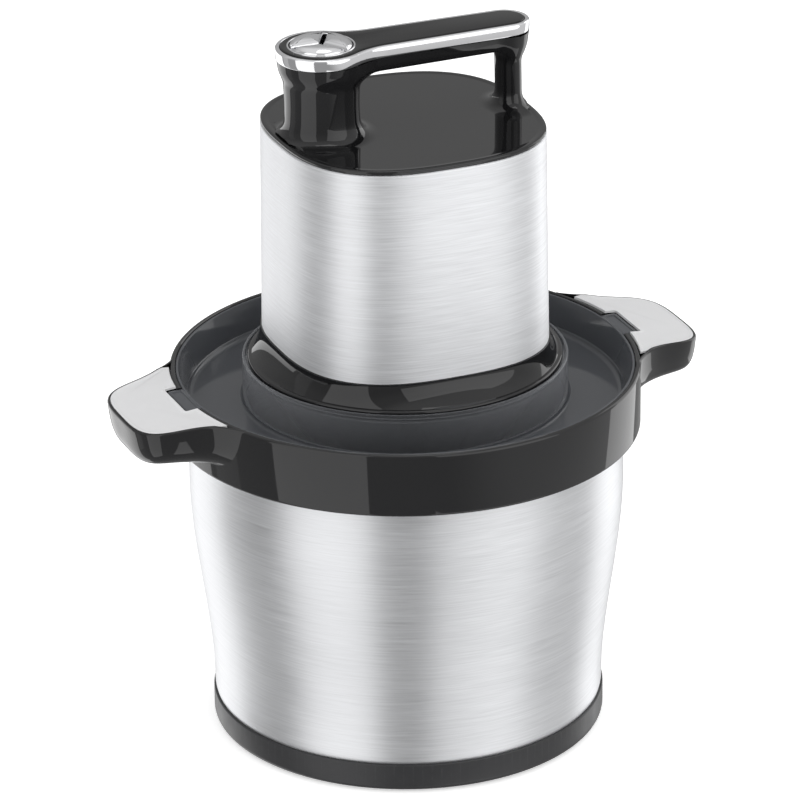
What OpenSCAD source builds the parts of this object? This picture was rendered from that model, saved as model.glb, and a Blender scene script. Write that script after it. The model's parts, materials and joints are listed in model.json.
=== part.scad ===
// Electric food chopper: a steel bowl with a collar and two ears, a smoked lid,
// and a motor head that drives a four-wing blade unit through a planetary gearbox.
// Millimetres. The origin is at the centre of the foot, Z is up, and X runs along the handle.

/* [Bowl] */
// Outer diameter of the collar round the mouth
collar_d = 250; // [248:0.5:256]
// Height of the collar's lower edge above the table
collar_z = 169; // [164:0.5:174]
// Height of the collar
collar_h = 34.5; // [34:0.1:37]
// How far the steel wall below the collar stands back from the collar's outside
wall_back = 9; // [8.5:0.5:10]
// How much the wall's radius shrinks on its way down to the foot
wall_narrowing = 11.3; // [10:0.1:13]
// Steel sheet of the bowl
bowl_t = 1; // [0.8:0.1:1.2]
// Outer radius between the bowl's floor and wall
bowl_corner_r = 14; // [10:0.5:18]
// Underside of the bowl's floor above the table
floor_z = 7; // [6.5:0.1:9]
// Height that the middle of the floor is pressed up
floor_rise = 6; // [5:0.5:8]

/* [Foot] */
// How far the foot ring stands out past the wall above it
base_out = 0.8; // [0.5:0.1:3]
// Top of the foot ring above the table
base_h = 16.5; // [14:0.5:20]
// Rounding of the foot ring's lower edge
base_edge = 3.6; // [2:0.2:5]
// How far the non-slip pad stands out below the foot
pad_proud = 1; // [0.6:0.1:1.5]
// How far the non-slip pad lies in from the foot ring's outside
pad_in = 9.5; // [8:0.5:15]
// Width of the non-slip pad
pad_w = 12; // [8:0.5:16]

/* [Ears] */
// How far each ear reaches out from the collar
ear_reach = 37.5; // [33:0.5:45]
// Half width of an ear where it leaves the collar
ear_root_w = 45; // [40:0.5:50]
// Half width of an ear near its end
ear_tip_w = 34; // [30:0.5:38]
// Depth of an ear at its end
ear_depth = 19; // [16:0.5:24]
// Slope of an ear's top in degrees
ear_tilt = 7; // [4:0.5:9]
// Thickness of the plate on each ear
plate_t = 1.4; // [1:0.1:2]
// Half width of the notch that takes the lid's tab
notch_w = 15; // [12:0.5:18]
// How far the notch reaches out from the collar's outside
notch_reach = 5; // [3:0.5:8]

/* [Lid] */
// Wall of the lid
lid_t = 2; // [1.6:0.1:2.2]
// Radius of the lid's neck as a share of the collar's radius
neck_share = 0.692; // [0.68:0.002:0.71]
// Height of the neck above the lid's floor
neck_h = 24; // [20:0.5:28]
// Radius of the hole that the blade hub turns in
lid_hole_r = 14; // [13:0.2:16]

/* [Blades] */
// Radius of the steel spindle
spindle_r = 4; // [3.5:0.1:4.5]
// Outer radius of the blade hub
hub_r = 12.5; // [11.5:0.5:14]
// How far the blades' path stays in from the wall's outside at the foot
blade_clear = 7.7; // [6:0.1:16]
// Thickness of the blade steel
blade_t = 1.8; // [1.5:0.1:2.2]
// Width of a blade at its root
blade_w = 25; // [20:1:28]
// Angle that a blade sweeps back on its way out
blade_sweep = 52; // [30:1:60]
// Height of the blade spacer between the two levels
spacer_h = 34; // [26:1:44]

/* [Motor head] */
// Half width of the steel sleeve at its top
sleeve_top_w = 70.3; // [69.5:0.1:71]
// How far the sleeve spreads on each side on its way down
sleeve_flare = 1.2; // [0.5:0.1:2]
// Height of the steel sleeve
sleeve_h = 115; // [112:0.5:125]
// Squareness of the sleeve, where 2 is a circle
sleeve_square = 2.7; // [2.5:0.05:3]
// Steel sheet of the sleeve
sleeve_t = 1; // [0.8:0.1:1.2]
// Gap between the head's flange and the lid's neck round it
flange_gap = 1.2; // [0.7:0.1:2]
// Height of that flange
flange_h = 4; // [3:0.5:6]
// Height of the skirt between the flange and the sleeve
skirt_h = 12; // [10:0.5:16]
// Depth of the plug below the flange
plug_depth = 41; // [39:0.5:43]
// Radius of the plug's lower end
plug_foot_r = 51.7; // [49:0.1:54]
// Plastic wall of the motor head
shell_t = 2.5; // [2:0.1:3]

/* [Handle] */
// Clear height under the grip
window_h = 32.5; // [30:0.5:40]
// Height of the grip, without its top plate
grip_h = 12.5; // [12:0.5:16]
// Radius of the top plate's round left end
pod_r = 21.4; // [21:0.1:24]
// How far the left end's middle lies in from the sleeve's side
pod_in = 25; // [24:0.1:27]
// Radius of the top plate's right end
tail_r = 10.9; // [10:0.1:12]
// How far the right end's middle lies in from the sleeve's side
tail_in = 12.6; // [11.5:0.1:15]
// Hollow rounding between the left end and the grip
waist_r = 40; // [34:1:50]
// Narrowing of the grip towards its right end in degrees
grip_taper = 1.15; // [0.6:0.05:1.6]
// Width of the bright trim round the top plate
trim_w = 2.5; // [2:0.1:3]
// Radius of the left post
post_r = 19.5; // [18:0.1:20.5]

/* [Buttons] */
// Radius of the three buttons taken together
button_r = 17.5; // [16.6:0.1:17.8]
// Gap between two buttons
button_gap = 1; // [0.8:0.1:1.6]
// Height of the buttons' top above the top plate
button_rise = 3.2; // [2.8:0.1:4]
// Travel of a button
button_travel = 2; // [1:0.1:2.2]

/* [Gears] */
// Module of the gears
gear_m = 1.25; // [1.2:0.01:1.27]
// Height of the planet gears
gear_h = 10; // [8:0.5:12]
// Radius of the planets' pins
pin_r = 3; // [2.5:0.1:3.2]

/* [Motor] */
// Length of the stator and rotor stacks
stack_h = 42; // [36:1:46]
// Width of the motor as a share of the sleeve's width
motor_share = 0.654; // [0.62:0.002:0.66]
// Radius of the rotor as a share of the motor's width
rotor_share = 0.254; // [0.22:0.002:0.256]
// Radius of the commutator
comm_r = 13; // [11:0.5:14]

/* [Fits] */
// Clearance of a running shaft in its hole
run_gap = 0.05; // [0.03:0.01:0.08]
// Clearance between pieces that only lie near each other
near_gap = 0.3; // [0.25:0.05:0.4]
// Clearance between the blade hub's drive head and its socket
drive_gap = 0.35; // [0.3:0.05:0.5]

/* [Hidden] */
$fn = 96;

steel = "#c9cbce";
black = "#26262a";
smoke = "#4b4d50";
silver = "#d2d2d3";
chrome = "#e8e8ea";
rubber = "#1c1c1e";
brass = "#b58a3c";
copper = "#a8562a";
lamination = "#7d8085";
board_green = "#2e5a3c";

// Bowl and collar
collar_r = collar_d / 2;
collar_top = collar_z + collar_h;
bowl_top_r = collar_r - wall_back;
bowl_foot_r = bowl_top_r - wall_narrowing;
collar_wall = 2.8;
collar_in_r = collar_r - collar_wall;
mouth_r = collar_in_r - near_gap - bowl_t;
shelf_h = 9.7;
ledge_z = collar_z + shelf_h + near_gap + bowl_t;
rim_z = ledge_z + 16.5;
wall_bend_z = collar_z - 29;
corner_top = floor_z + bowl_corner_r;
dish_r = 30;
dish_top_r = 22;
dish_z = floor_z + floor_rise;
base_r = bowl_foot_r + base_out;
pad_r = base_r - pad_in;

// Ears, measured from the bowl's axis
ear_lift = 1;
ear_start = collar_r - 13;
ear_root = collar_r - 8;
ear_turn = collar_r + 5;
ear_end = collar_r + ear_reach;
plate_start = collar_r - 11;

// Spindle and blade unit
thread_r = spindle_r + 1;
spindle_flange_h = 3;
spindle_flange_r = 11;
flange_top = dish_z + bowl_t + spindle_flange_h;
washer_h = 1;
hub_z = flange_top + washer_h;
bush_h = 14;
bush_r = spindle_r + 3;
blade_bore_r = hub_r - 3;
level_h = 4;
blade_r = bowl_foot_r - blade_clear;
upper_shorter = 9;
upper_rise = 16;
lower_z = hub_z + 6;
spacer_z = lower_z + level_h;
upper_z = spacer_z + spacer_h;
nut_z = upper_z + level_h;
nut_h = 7;

// Lid
seal_h = 3;
lid_floor_under = ledge_z + seal_h;
lid_floor = lid_floor_under + lid_t;
lid_fillet = 1.5;
neck_r = collar_r * neck_share;
neck_top = lid_floor + neck_h;
neck_in_r = neck_r - 1.8;
flange_r = neck_in_r - flange_gap;
seat_z = neck_top - 3;
seat_w = 3.9;
funnel_r = neck_in_r - seat_w;
plug_gap = 0.8;
plug_z = seat_z - plug_depth;
cup_r = plug_foot_r + plug_gap;
cup_gap = 1.4;
cup_z = plug_z - cup_gap;
lid_rim_r = collar_in_r - near_gap;
lid_corner_r = mouth_r - 5.4;

// Drive head and its socket
drive_engage = 13;
socket_rise = 3;
socket_z = plug_z + socket_rise;
drive_top = socket_z + drive_engage;
drive_neck_r = 9.9;
drive_tip_r = 9.4;
drive_root_r = 7.6;
drive_neck_z = cup_z - lid_t - 8;
spindle_top = drive_neck_z - 28;
hub_seal_flange = 1;

// Motor head
sleeve_foot_w = sleeve_top_w + sleeve_flare;
flange_top_z = seat_z + flange_h;
sleeve_z = flange_top_z + skirt_h;
sleeve_top = sleeve_z + sleeve_h;
cap_rise = 2.5;
deck_z = sleeve_top + cap_rise;
grip_z = deck_z + window_h;
grip_top = grip_z + grip_h;
trim_z = grip_top - 2.5;
plate_top = grip_top + 3.3;

// Gearbox
sun_n = 12;
planet_n = 18;
ring_n = sun_n + 2 * planet_n;
pressure = 25;
backlash = 0.12;
addendum = 0.85 * gear_m;
dedendum = 1.15 * gear_m;
carrier_r = gear_m * (sun_n + planet_n) / 2;
ring_r = gear_m * ring_n / 2 + dedendum + 3.6;
housing_t = 1.6;
housing_r = ring_r + 0.1 + housing_t;
lug_xy = housing_r * 0.78;
lug_t = 3;
lug_screw_r = 1.3;
well_r = 20;
socket_r = 15;
socket_top = drive_top + 9.6;
housing_z = plug_z + 27;
bearing_h = 7;
bearing_r = 11;
output_bearing_z = housing_z + 3;
carrier_z = output_bearing_z + bearing_h + 1;
carrier_t = 4;
carrier_top = carrier_z + carrier_t;
planet_z = carrier_top + near_gap;
ring_z = carrier_top - 1;
ring_h = gear_h + 2;
housing_top = ring_z + ring_h + 1;
shaft_r = 4;

// Motor
motor_plate_t = 3;
rotor_bearing_z = housing_top + 2;
bearing_seat_top = rotor_bearing_z + bearing_h + 1;
fan_z = bearing_seat_top + 0.6;
fan_h = 7.8;
coil_over = 4.5;
stack_z = fan_z + fan_h + coil_over + 1.1;
stack_top = stack_z + stack_h;
board_x = sleeve_top_w - 10.1;
board_w = 60;
board_h = 88;
stator_x = 2 * sleeve_top_w * motor_share;
stator_y = 0.826 * stator_x;
yoke_x = 0.13 * stator_x;
yoke_y = 0.13 * stator_y;
coil_w = stator_y / 2 - yoke_y - 6.5;
pole_w = 1.3 * coil_w;
rotor_r = stator_x * rotor_share;
stator_bore = rotor_r + 0.6;
slots = 12;
slot_in = 0.28 * rotor_r;
slot_r = 0.4 * slot_in;
bolt_x = stator_x / 2 - 6;
bolt_y = stator_y / 2 - 6;
bracket_z = stack_top + coil_over + 0.5;
bracket_t = 3;
brush_z = bracket_z + bracket_t;
brush_box_h = 8;
brush_y = 26;
comm_z = brush_z - 0.5;
comm_h = 10;
bridge_z = comm_z + comm_h + 3;
top_bearing_r = 9.5;
top_bearing_h = 6;
top_shaft_r = 3;
shaft_top = bridge_z + top_bearing_h + 1;
tie_xy = sleeve_top_w - 23.3;
tie_r = 2;
tie_seat = flange_top_z + 3;
tie_top = sleeve_top - 20;

// Handle and buttons
pod_x = sleeve_top_w - pod_in;
tail_x = sleeve_top_w - tail_in;
trim_top = plate_top - 0.3;
well_floor = grip_z + 2.5;
board_t = 1.6;
tact_z = well_floor + board_t;
tact_stem = 0.7;
button_under = grip_top - 1.5;
button_flange = 1.2;
button_play = 0.7;
tact_h = button_under - tact_z - tact_stem - button_travel - button_play;
button_top = plate_top + button_rise;
tact_ring = 9.5;
spring_r = 5.2;
spring_wire = 0.45;
gland_z = sleeve_z + 18;
gland_bore = 3.5;

// A point at a radius and an angle
function polar(r, a) = [r * cos(a), r * sin(a)];
// Points of an arc about a centre
function arc(c, r, a0, a1, n) = [for (i = [0:n]) c + polar(r, a0 + (a1 - a0) * i / n)];
// A smooth step from 0 to 1
function ease(t) = t * t * (3 - 2 * t);
// Outer radius of the bowl's wall at a height
function wall_r(z) =
    bowl_foot_r + (bowl_top_r - bowl_foot_r) * ease((z - corner_top) / (wall_bend_z - corner_top));
// Half width of the sleeve at a height
function sleeve_w(z) = sleeve_foot_w + (sleeve_top_w - sleeve_foot_w) * (z - sleeve_z) / sleeve_h;
// Ring of points on a rounded square of half width w at height z
function squircle(w, z, n = 96) = [
    for (i = [0:n - 1])
        let (a = 360 * i / n, r = w / pow(pow(abs(cos(a)), sleeve_square)
            + pow(abs(sin(a)), sleeve_square), 1 / sleeve_square))
        [r * cos(a), r * sin(a), z]
];

// Joins rings that have the same number of points into one closed skin. The ends of rings that mirror in
// the X axis can be made of strips, which suits an outline with a waist
module loft(rings, strips = false) {
    n = len(rings[0]);
    m = len(rings);
    last = (m - 1) * n;
    half = n / 2;
    sides = [
        for (j = [0:m - 2]) for (i = [0:n - 1])
            let (k = (i + 1) % n) each [
                [j * n + i, (j + 1) * n + i, (j + 1) * n + k],
                [j * n + i, (j + 1) * n + k, j * n + k]
            ]
    ];
    strip = [for (i = [1:half - 2]) [i, i + 1, n - i - 1, n - i]];
    bottom = strips
        ? concat([[0, 1, n - 1]], strip, [[half - 1, half, half + 1]])
        : [[for (i = [0:n - 1]) i]];
    top = [for (f = bottom) [for (i = [len(f) - 1:-1:0]) last + f[i]]];
    polyhedron(points = [for (r = rings) each r], faces = concat(bottom, sides, top), convexity = 6);
}

// A ring with an inner and an outer radius
module ring(r_out, r_in, z, h) {
    translate([0, 0, z]) difference() {
        cylinder(r = r_out, h = h);
        translate([0, 0, -1]) cylinder(r = r_in, h = h + 2);
    }
}

// A plain ball bearing of two races with a closed side
module bearing(r_out, r_in, h) {
    rotate_extrude() polygon([
        [r_in, 0], [r_in + 1.6, 0], [r_in + 1.6, 0.5], [r_out - 1.6, 0.5], [r_out - 1.6, 0],
        [r_out, 0], [r_out, h], [r_out - 1.6, h], [r_out - 1.6, h - 0.5], [r_in + 1.6, h - 0.5],
        [r_in + 1.6, h], [r_in, h]
    ]);
}

// A screw with a round head that stands on z = 0 and a shank that runs up or down
module screw(shank_r, head_r, head_h, length) {
    cylinder(r = head_r, h = head_h);
    translate([0, 0, -length]) cylinder(r = shank_r, h = length);
}

// Copies at the four corners of a rectangle
module corners(x, y) {
    for (sx = [-1, 1]) for (sy = [-1, 1]) translate([sx * x, sy * y, 0]) children();
}

// Bowl

module bowl_shell() color(steel) {
    steps = 16;
    corner = [bowl_foot_r - bowl_corner_r, corner_top];
    bend = 0.6;
    wall_out = [
        for (i = [1:steps])
            let (z = corner_top + (wall_bend_z - corner_top) * i / steps) [wall_r(z), z]
    ];
    wall_in = [for (i = [steps - 1:-1:0]) wall_out[i] - [bowl_t, 0]];
    outer = concat(
        [[thread_r + 0.2, dish_z], [dish_top_r, dish_z], [dish_r, floor_z]],
        arc(corner, bowl_corner_r, -90, 0, 10), wall_out,
        [
            [bowl_top_r, ledge_z - bowl_t - bend], [bowl_top_r + bend, ledge_z - bowl_t],
            [mouth_r + bowl_t - bend, ledge_z - bowl_t], [mouth_r + bowl_t, ledge_z - bowl_t + bend],
            [mouth_r + bowl_t, rim_z]
        ]
    );
    inner = concat(
        [
            [mouth_r, rim_z], [mouth_r, ledge_z + bend], [mouth_r - bend, ledge_z],
            [bowl_top_r - bowl_t + bend, ledge_z], [bowl_top_r - bowl_t, ledge_z - bend]
        ],
        wall_in, arc(corner, bowl_corner_r - bowl_t, 0, -90, 10),
        [[dish_r + 0.5, floor_z + bowl_t], [dish_top_r + 0.5, dish_z + bowl_t]],
        [[thread_r + 0.2, dish_z + bowl_t]]
    );
    rotate_extrude($fn = 128) polygon(concat(outer, inner));
}

// What is left of the way from an ear's root to a place short of its end, from 1 to 0
function ear_left(x, short) = max(0, (ear_end - short - x) / (ear_end - short - ear_root));
// What is gone of the way round an ear's end, from 0 to nearly 1
function ear_gone(x) = max(0, (x - ear_turn) / (ear_end + 0.6 - ear_turn));
// Half width of an ear at a distance out along its top
function ear_w(x) =
    (ear_tip_w + (ear_root_w - ear_tip_w) * pow(ear_left(x, 7), 1.8)) * pow(1 - pow(ear_gone(x), 7), 1 / 7);
// Depth of an ear at that distance
function ear_d(x) =
    (ear_depth + (collar_h - 2 - ear_depth) * pow(ear_left(x, 10), 1.7))
    * pow(1 - pow(ear_gone(x), 3.5), 1 / 3.5);
// Distances along an ear at which it is measured, closer together towards the end
ear_steps = [for (i = [0:18]) ear_start + (ear_end - ear_start) * sin(90 * i / 18)];

// Moves a piece from the ear's own top plane to its place
module on_ear() {
    translate([collar_r, 0, collar_top + ear_lift]) rotate([0, ear_tilt, 0])
        translate([-collar_r, 0, 0]) children();
}

module ear_body() {
    edge = 1.2;
    rings = [
        for (x = ear_steps)
            let (w = ear_w(x), d = ear_d(x))
            concat([[x, w - edge, 0], [x, edge - w, 0]], [
                for (i = [0:24])
                    let (a = 180 + 180 * i / 24, c = cos(a), s = abs(sin(a)))
                    [x, w * sign(c) * pow(abs(c), 0.75), -edge - (d - edge) * pow(s, 0.8)]
            ])
    ];
    on_ear() loft(rings);
}

// Plan of an ear's plate or of its recess
module ear_plate_shape(inset, notch_extra) {
    xs = [for (x = ear_steps) if (x > plate_start && x < ear_end - 1) x];
    outline = concat(
        [for (x = xs) [x - inset / 2, ear_w(x) - inset]],
        [for (i = [len(xs) - 1:-1:0]) [xs[i] - inset / 2, inset - ear_w(xs[i])]]
    );
    difference() {
        polygon(outline);
        circle(r = collar_r + 0.4, $fn = 128);
        translate([collar_r - 20, -notch_w - notch_extra])
            square([20 + notch_reach + notch_extra, 2 * (notch_w + notch_extra)]);
    }
}

module bowl_collar() color(black) difference() {
    edge = 1.2;
    union() {
        rotate_extrude($fn = 128) polygon(concat(
            [[bowl_top_r + near_gap, collar_z]],
            arc([collar_r - edge, collar_z + edge], edge, -90, 0, 4),
            arc([collar_r - edge, collar_top - edge], edge, 0, 90, 4),
            [
                [collar_in_r, collar_top], [collar_in_r, collar_z + shelf_h],
                [bowl_top_r + near_gap, collar_z + shelf_h]
            ]
        ));
        for (m = [0, 1]) mirror([m, 0, 0]) difference() {
            ear_body();
            translate([0, 0, collar_z + shelf_h]) cylinder(r = collar_in_r, h = collar_h, $fn = 128);
            translate([0, 0, collar_z - 20]) cylinder(r = collar_r - edge, h = 20 + shelf_h, $fn = 128);
            on_ear() translate([0, 0, -plate_t]) linear_extrude(plate_t + 1) ear_plate_shape(1.3, 0.5);
        }
    }
    translate([-collar_r - notch_reach, -notch_w, rim_z + 2.5])
        cube([2 * (collar_r + notch_reach), 2 * notch_w, collar_h]);
}

module ear_plate() {
    on_ear() translate([0, 0, -plate_t + 0.05]) linear_extrude(plate_t) ear_plate_shape(1.5, 0.8);
}

module ear_plates() color(silver) {
    ear_plate();
    mirror([1, 0, 0]) ear_plate();
}

// Foot

module base_ring() color("#333333") {
    ring_in = bowl_foot_r - 0.5;
    web_t = 2.5;
    web_top = pad_proud + web_t;
    chamfer = 0.6;
    rib_t = 2;
    difference() {
        union() {
            rotate_extrude($fn = 128) polygon(concat(
                [[thread_r + 0.2, pad_proud]],
                arc([base_r - base_edge, pad_proud + base_edge], base_edge, -90, 0, 6),
                [
                    [base_r, base_h - chamfer], [base_r - chamfer, base_h], [ring_in, base_h],
                    [ring_in, web_top], [thread_r + 0.2, web_top]
                ]
            ));
            ring(dish_top_r - 1, thread_r + 0.2, pad_proud, dish_z - pad_proud);
            for (a = [0:45:315]) rotate(a) translate([dish_top_r - 2, -rib_t / 2, web_top - 0.5])
                cube([bowl_foot_r - bowl_corner_r - dish_top_r + 1, rib_t, floor_z - web_top + 0.5]);
        }
        ring(pad_r, pad_r - pad_w, 0, pad_proud + 1.2);
        translate([0, 0, -1]) cylinder(r = 13.5, h = floor_z + 1);
        for (a = [0:45:315]) rotate(a) translate([dish_r + 1, 0, -1]) rotate(22.5)
            translate([14, 0, 0]) cylinder(r = 5, h = web_top + 2, $fn = 32);
    }
}

module base_pad() color(rubber) ring(pad_r - 0.1, pad_r - pad_w + 0.1, 0, pad_proud + 1.2);

module spindle() color(chrome) difference() {
    tip = 1.5;
    straight_top = spindle_top - tip;
    union() {
        translate([0, 0, 3]) cylinder(r = thread_r, h = dish_z - 2);
        translate([0, 0, dish_z + bowl_t]) cylinder(r = spindle_flange_r, h = spindle_flange_h);
        translate([0, 0, dish_z]) cylinder(r = spindle_r, h = straight_top - dish_z);
        translate([0, 0, straight_top]) cylinder(r1 = spindle_r, r2 = spindle_r - tip, h = tip);
    }
    for (s = [-1, 1]) translate([s * (spindle_flange_r + 8), 0, dish_z + bowl_t + 1.6])
        cube([20, 30, spindle_flange_h + 0.4], center = true);
}

module spindle_nut() color(chrome) translate([0, 0, floor_z - 4.5]) difference() {
    cylinder(r = 9.8, h = 4.5, $fn = 6);
    translate([0, 0, -1]) cylinder(r = thread_r, h = 7);
}

module thrust_washer() color("#e9e6dc") ring(9, spindle_r + run_gap, flange_top, washer_h);

// Blade unit

// Outline of the splined drive, grown by a clearance
function spline_points(grow) = [
    for (i = [0:5])
        let (c = 60 * i, w = grow / drive_tip_r * 57.3)
        each [
            polar(drive_root_r + grow, c - 17 - w), polar(drive_tip_r + grow, c - 13 - w),
            polar(drive_tip_r + grow, c + 13 + w), polar(drive_root_r + grow, c + 17 + w)
        ]
];

module blade_hub() color("#2f3033") difference() {
    union() {
        translate([0, 0, hub_z]) cylinder(r = hub_r + 3, h = lower_z - hub_z);
        translate([0, 0, hub_z]) cylinder(r = blade_bore_r, h = drive_neck_z - hub_z - 4);
        translate([0, 0, nut_z + nut_h + 0.3])
            cylinder(r = hub_r - 1, h = drive_neck_z - nut_z - nut_h - 4);
        translate([0, 0, drive_neck_z - 6]) cylinder(r = drive_neck_r, h = plug_z + 1 - drive_neck_z + 6);
        translate([0, 0, plug_z]) linear_extrude(drive_top - plug_z - 1) polygon(spline_points(0));
        translate([0, 0, drive_top - 1.01])
            cylinder(r1 = drive_root_r - 0.5, r2 = drive_root_r - 1.5, h = 1.01);
    }
    translate([0, 0, hub_z - 1]) cylinder(r = bush_r, h = bush_h + 1);
    translate([0, 0, hub_z]) cylinder(r = spindle_r + 0.5, h = spindle_top - hub_z + 1);
    translate([0, 0, spindle_top - bush_h]) cylinder(r = bush_r, h = bush_h + 1);
}

module hub_bushes() color(brass) {
    ring(bush_r, spindle_r + run_gap, hub_z, bush_h);
    ring(bush_r, spindle_r + run_gap, spindle_top - bush_h, bush_h);
}

// One wing: a swept blade with a ground leading edge that can rise towards its tip
module wing(reach, rise, sweep) {
    steps = 14;
    root = hub_r - 2;
    bevel = 5;
    function spot(t) = polar(root + (reach - root) * t, -sweep * t);
    rings = [
        for (i = [0:steps])
            let (t = i / steps, p = spot(t), d = spot(t + 0.01) - spot(t - 0.01), l = norm(d),
                u = [-d[1], d[0]] / l, w = blade_w * (1 - 0.62 * t * t) * (t > 0.93 ? 0.72 : 1),
                z = rise * t * t, back = p - u * w / 2, edge = p + u * w / 2,
                land = p + u * (w / 2 - min(bevel, w / 2)))
            [
                [back[0], back[1], z], [edge[0], edge[1], z],
                [land[0], land[1], z + blade_t], [back[0], back[1], z + blade_t]
            ]
    ];
    loft(rings);
}

module blade(z, reach, rise, turn) {
    translate([0, 0, z]) rotate(turn) difference() {
        union() {
            cylinder(r = hub_r + 2, h = level_h);
            for (a = [0, 180]) rotate(a) translate([0, 0, (level_h - blade_t) / 2])
                wing(reach, rise, blade_sweep);
        }
        translate([0, 0, -1]) cylinder(r = blade_bore_r + run_gap, h = level_h + 2);
    }
}

module lower_blade() color(silver) blade(lower_z, blade_r, -2, 20);

module upper_blade() color(silver) blade(upper_z, blade_r - upper_shorter, upper_rise, 110);

module blade_spacer() color(black) ring(hub_r, blade_bore_r, spacer_z, spacer_h);

module blade_nut() color(black) difference() {
    union() {
        translate([0, 0, nut_z]) cylinder(r = hub_r, h = nut_h);
        for (a = [0:60:300]) rotate(a) translate([hub_r - 1, 0, nut_z + nut_h / 2])
            cube([3, 3, nut_h], center = true);
    }
    translate([0, 0, nut_z - 1]) cylinder(r = blade_bore_r, h = nut_h + 2);
}

// Lid

// Radius of the lid's funnel at a height, on its inner face
function funnel(z) = cup_r + (funnel_r - cup_r) * (z - plug_z) / (seat_z - plug_z);

// The lid is one moulding. It is drawn as wall, floor and neck, so that each can be followed closely
module lid_wall() color(smoke, 0.75) {
    rim_h = 2;
    rim_w = 1.2;
    slant = 1.8;
    top_z = collar_top - 0.5;
    tab_gap = 0.6;
    tab_h = 3.6;
    rotate_extrude($fn = 128) polygon([
        [lid_rim_r, top_z], [lid_rim_r - rim_w, top_z], [lid_corner_r + 0.4, lid_floor + lid_fillet],
        [lid_corner_r - lid_fillet, lid_floor], [lid_corner_r - lid_fillet, lid_floor_under],
        [lid_corner_r + slant, lid_floor_under], [lid_corner_r + slant + 0.5, lid_floor_under + 1],
        [lid_rim_r, top_z - rim_h]
    ]);
    for (m = [0, 1]) mirror([m, 0, 0])
        translate([lid_rim_r - 1, tab_gap - notch_w, rim_z + 2.5 + near_gap])
            cube([collar_wall + notch_reach + 1, 2 * (notch_w - tab_gap), tab_h]);
}

module lid_floor() color(smoke, 0.75) rotate_extrude($fn = 128) polygon([
    [neck_r + lid_fillet, lid_floor_under], [lid_corner_r - lid_fillet, lid_floor_under],
    [lid_corner_r - lid_fillet, lid_floor], [neck_r + lid_fillet, lid_floor]
]);

module lid_neck() color(smoke, 0.75) {
    skew = (funnel_r - cup_r) / (seat_z - plug_z);
    wall = lid_t * 0.9 * sqrt(1 + skew * skew);
    top_side = [
        [neck_r + lid_fillet, lid_floor], [neck_r, lid_floor + lid_fillet], [neck_r, neck_top - 0.8],
        [neck_r - 0.5, neck_top], [neck_in_r + 0.4, neck_top], [neck_in_r, neck_top - 0.6],
        [neck_in_r, seat_z], [funnel_r, seat_z], [cup_r, plug_z], [cup_r - 1.2, cup_z]
    ];
    under_side = [
        [lid_hole_r, cup_z], [lid_hole_r, cup_z - lid_t], [cup_r - 0.6, cup_z - lid_t],
        [cup_r + 1, plug_z - 1.5], [funnel(seat_z - 2) + wall, seat_z - 2], [neck_in_r, seat_z - 2],
        [neck_in_r, lid_floor_under], [neck_r + lid_fillet, lid_floor_under]
    ];
    rotate_extrude($fn = 128) polygon(concat(top_side, under_side));
}

module lid_seal() color(rubber) rotate_extrude($fn = 128) {
    polygon([
        [lid_corner_r - 2.5, ledge_z], [lid_corner_r + 1.4, ledge_z], [lid_corner_r + 2.2, ledge_z + 0.8],
        [lid_corner_r + 1.6, ledge_z + seal_h], [lid_corner_r - 2, ledge_z + seal_h]
    ]);
}

module hub_seal() color(rubber) rotate_extrude() {
    inner = drive_neck_r + near_gap;
    outer = lid_hole_r + 2.5;
    lower = cup_z - lid_t;
    polygon([
        [inner, lower - 1.2], [outer, lower - 1.2], [outer, lower], [lid_hole_r - 0.1, lower],
        [lid_hole_r - 0.1, cup_z], [outer - 1, cup_z], [outer - 1, cup_z + hub_seal_flange],
        [inner, cup_z + hub_seal_flange]
    ]);
}

// Motor head

// Rings of the skirt that blends the round flange into the rounded square sleeve
function skirt_rings(z0, z1, steps = 7) = [
    for (j = [0:steps])
        let (t = j / steps, z = z0 + (z1 - z0) * t, k = 1 - pow(1 - t, 2.2),
            square_ring = squircle(sleeve_foot_w + 0.8, z, 72), r = flange_r - 2.2)
        [for (i = [0:71]) [
            (1 - k) * r * cos(5 * i) + k * square_ring[i][0],
            (1 - k) * r * sin(5 * i) + k * square_ring[i][1], z
        ]]
];

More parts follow.
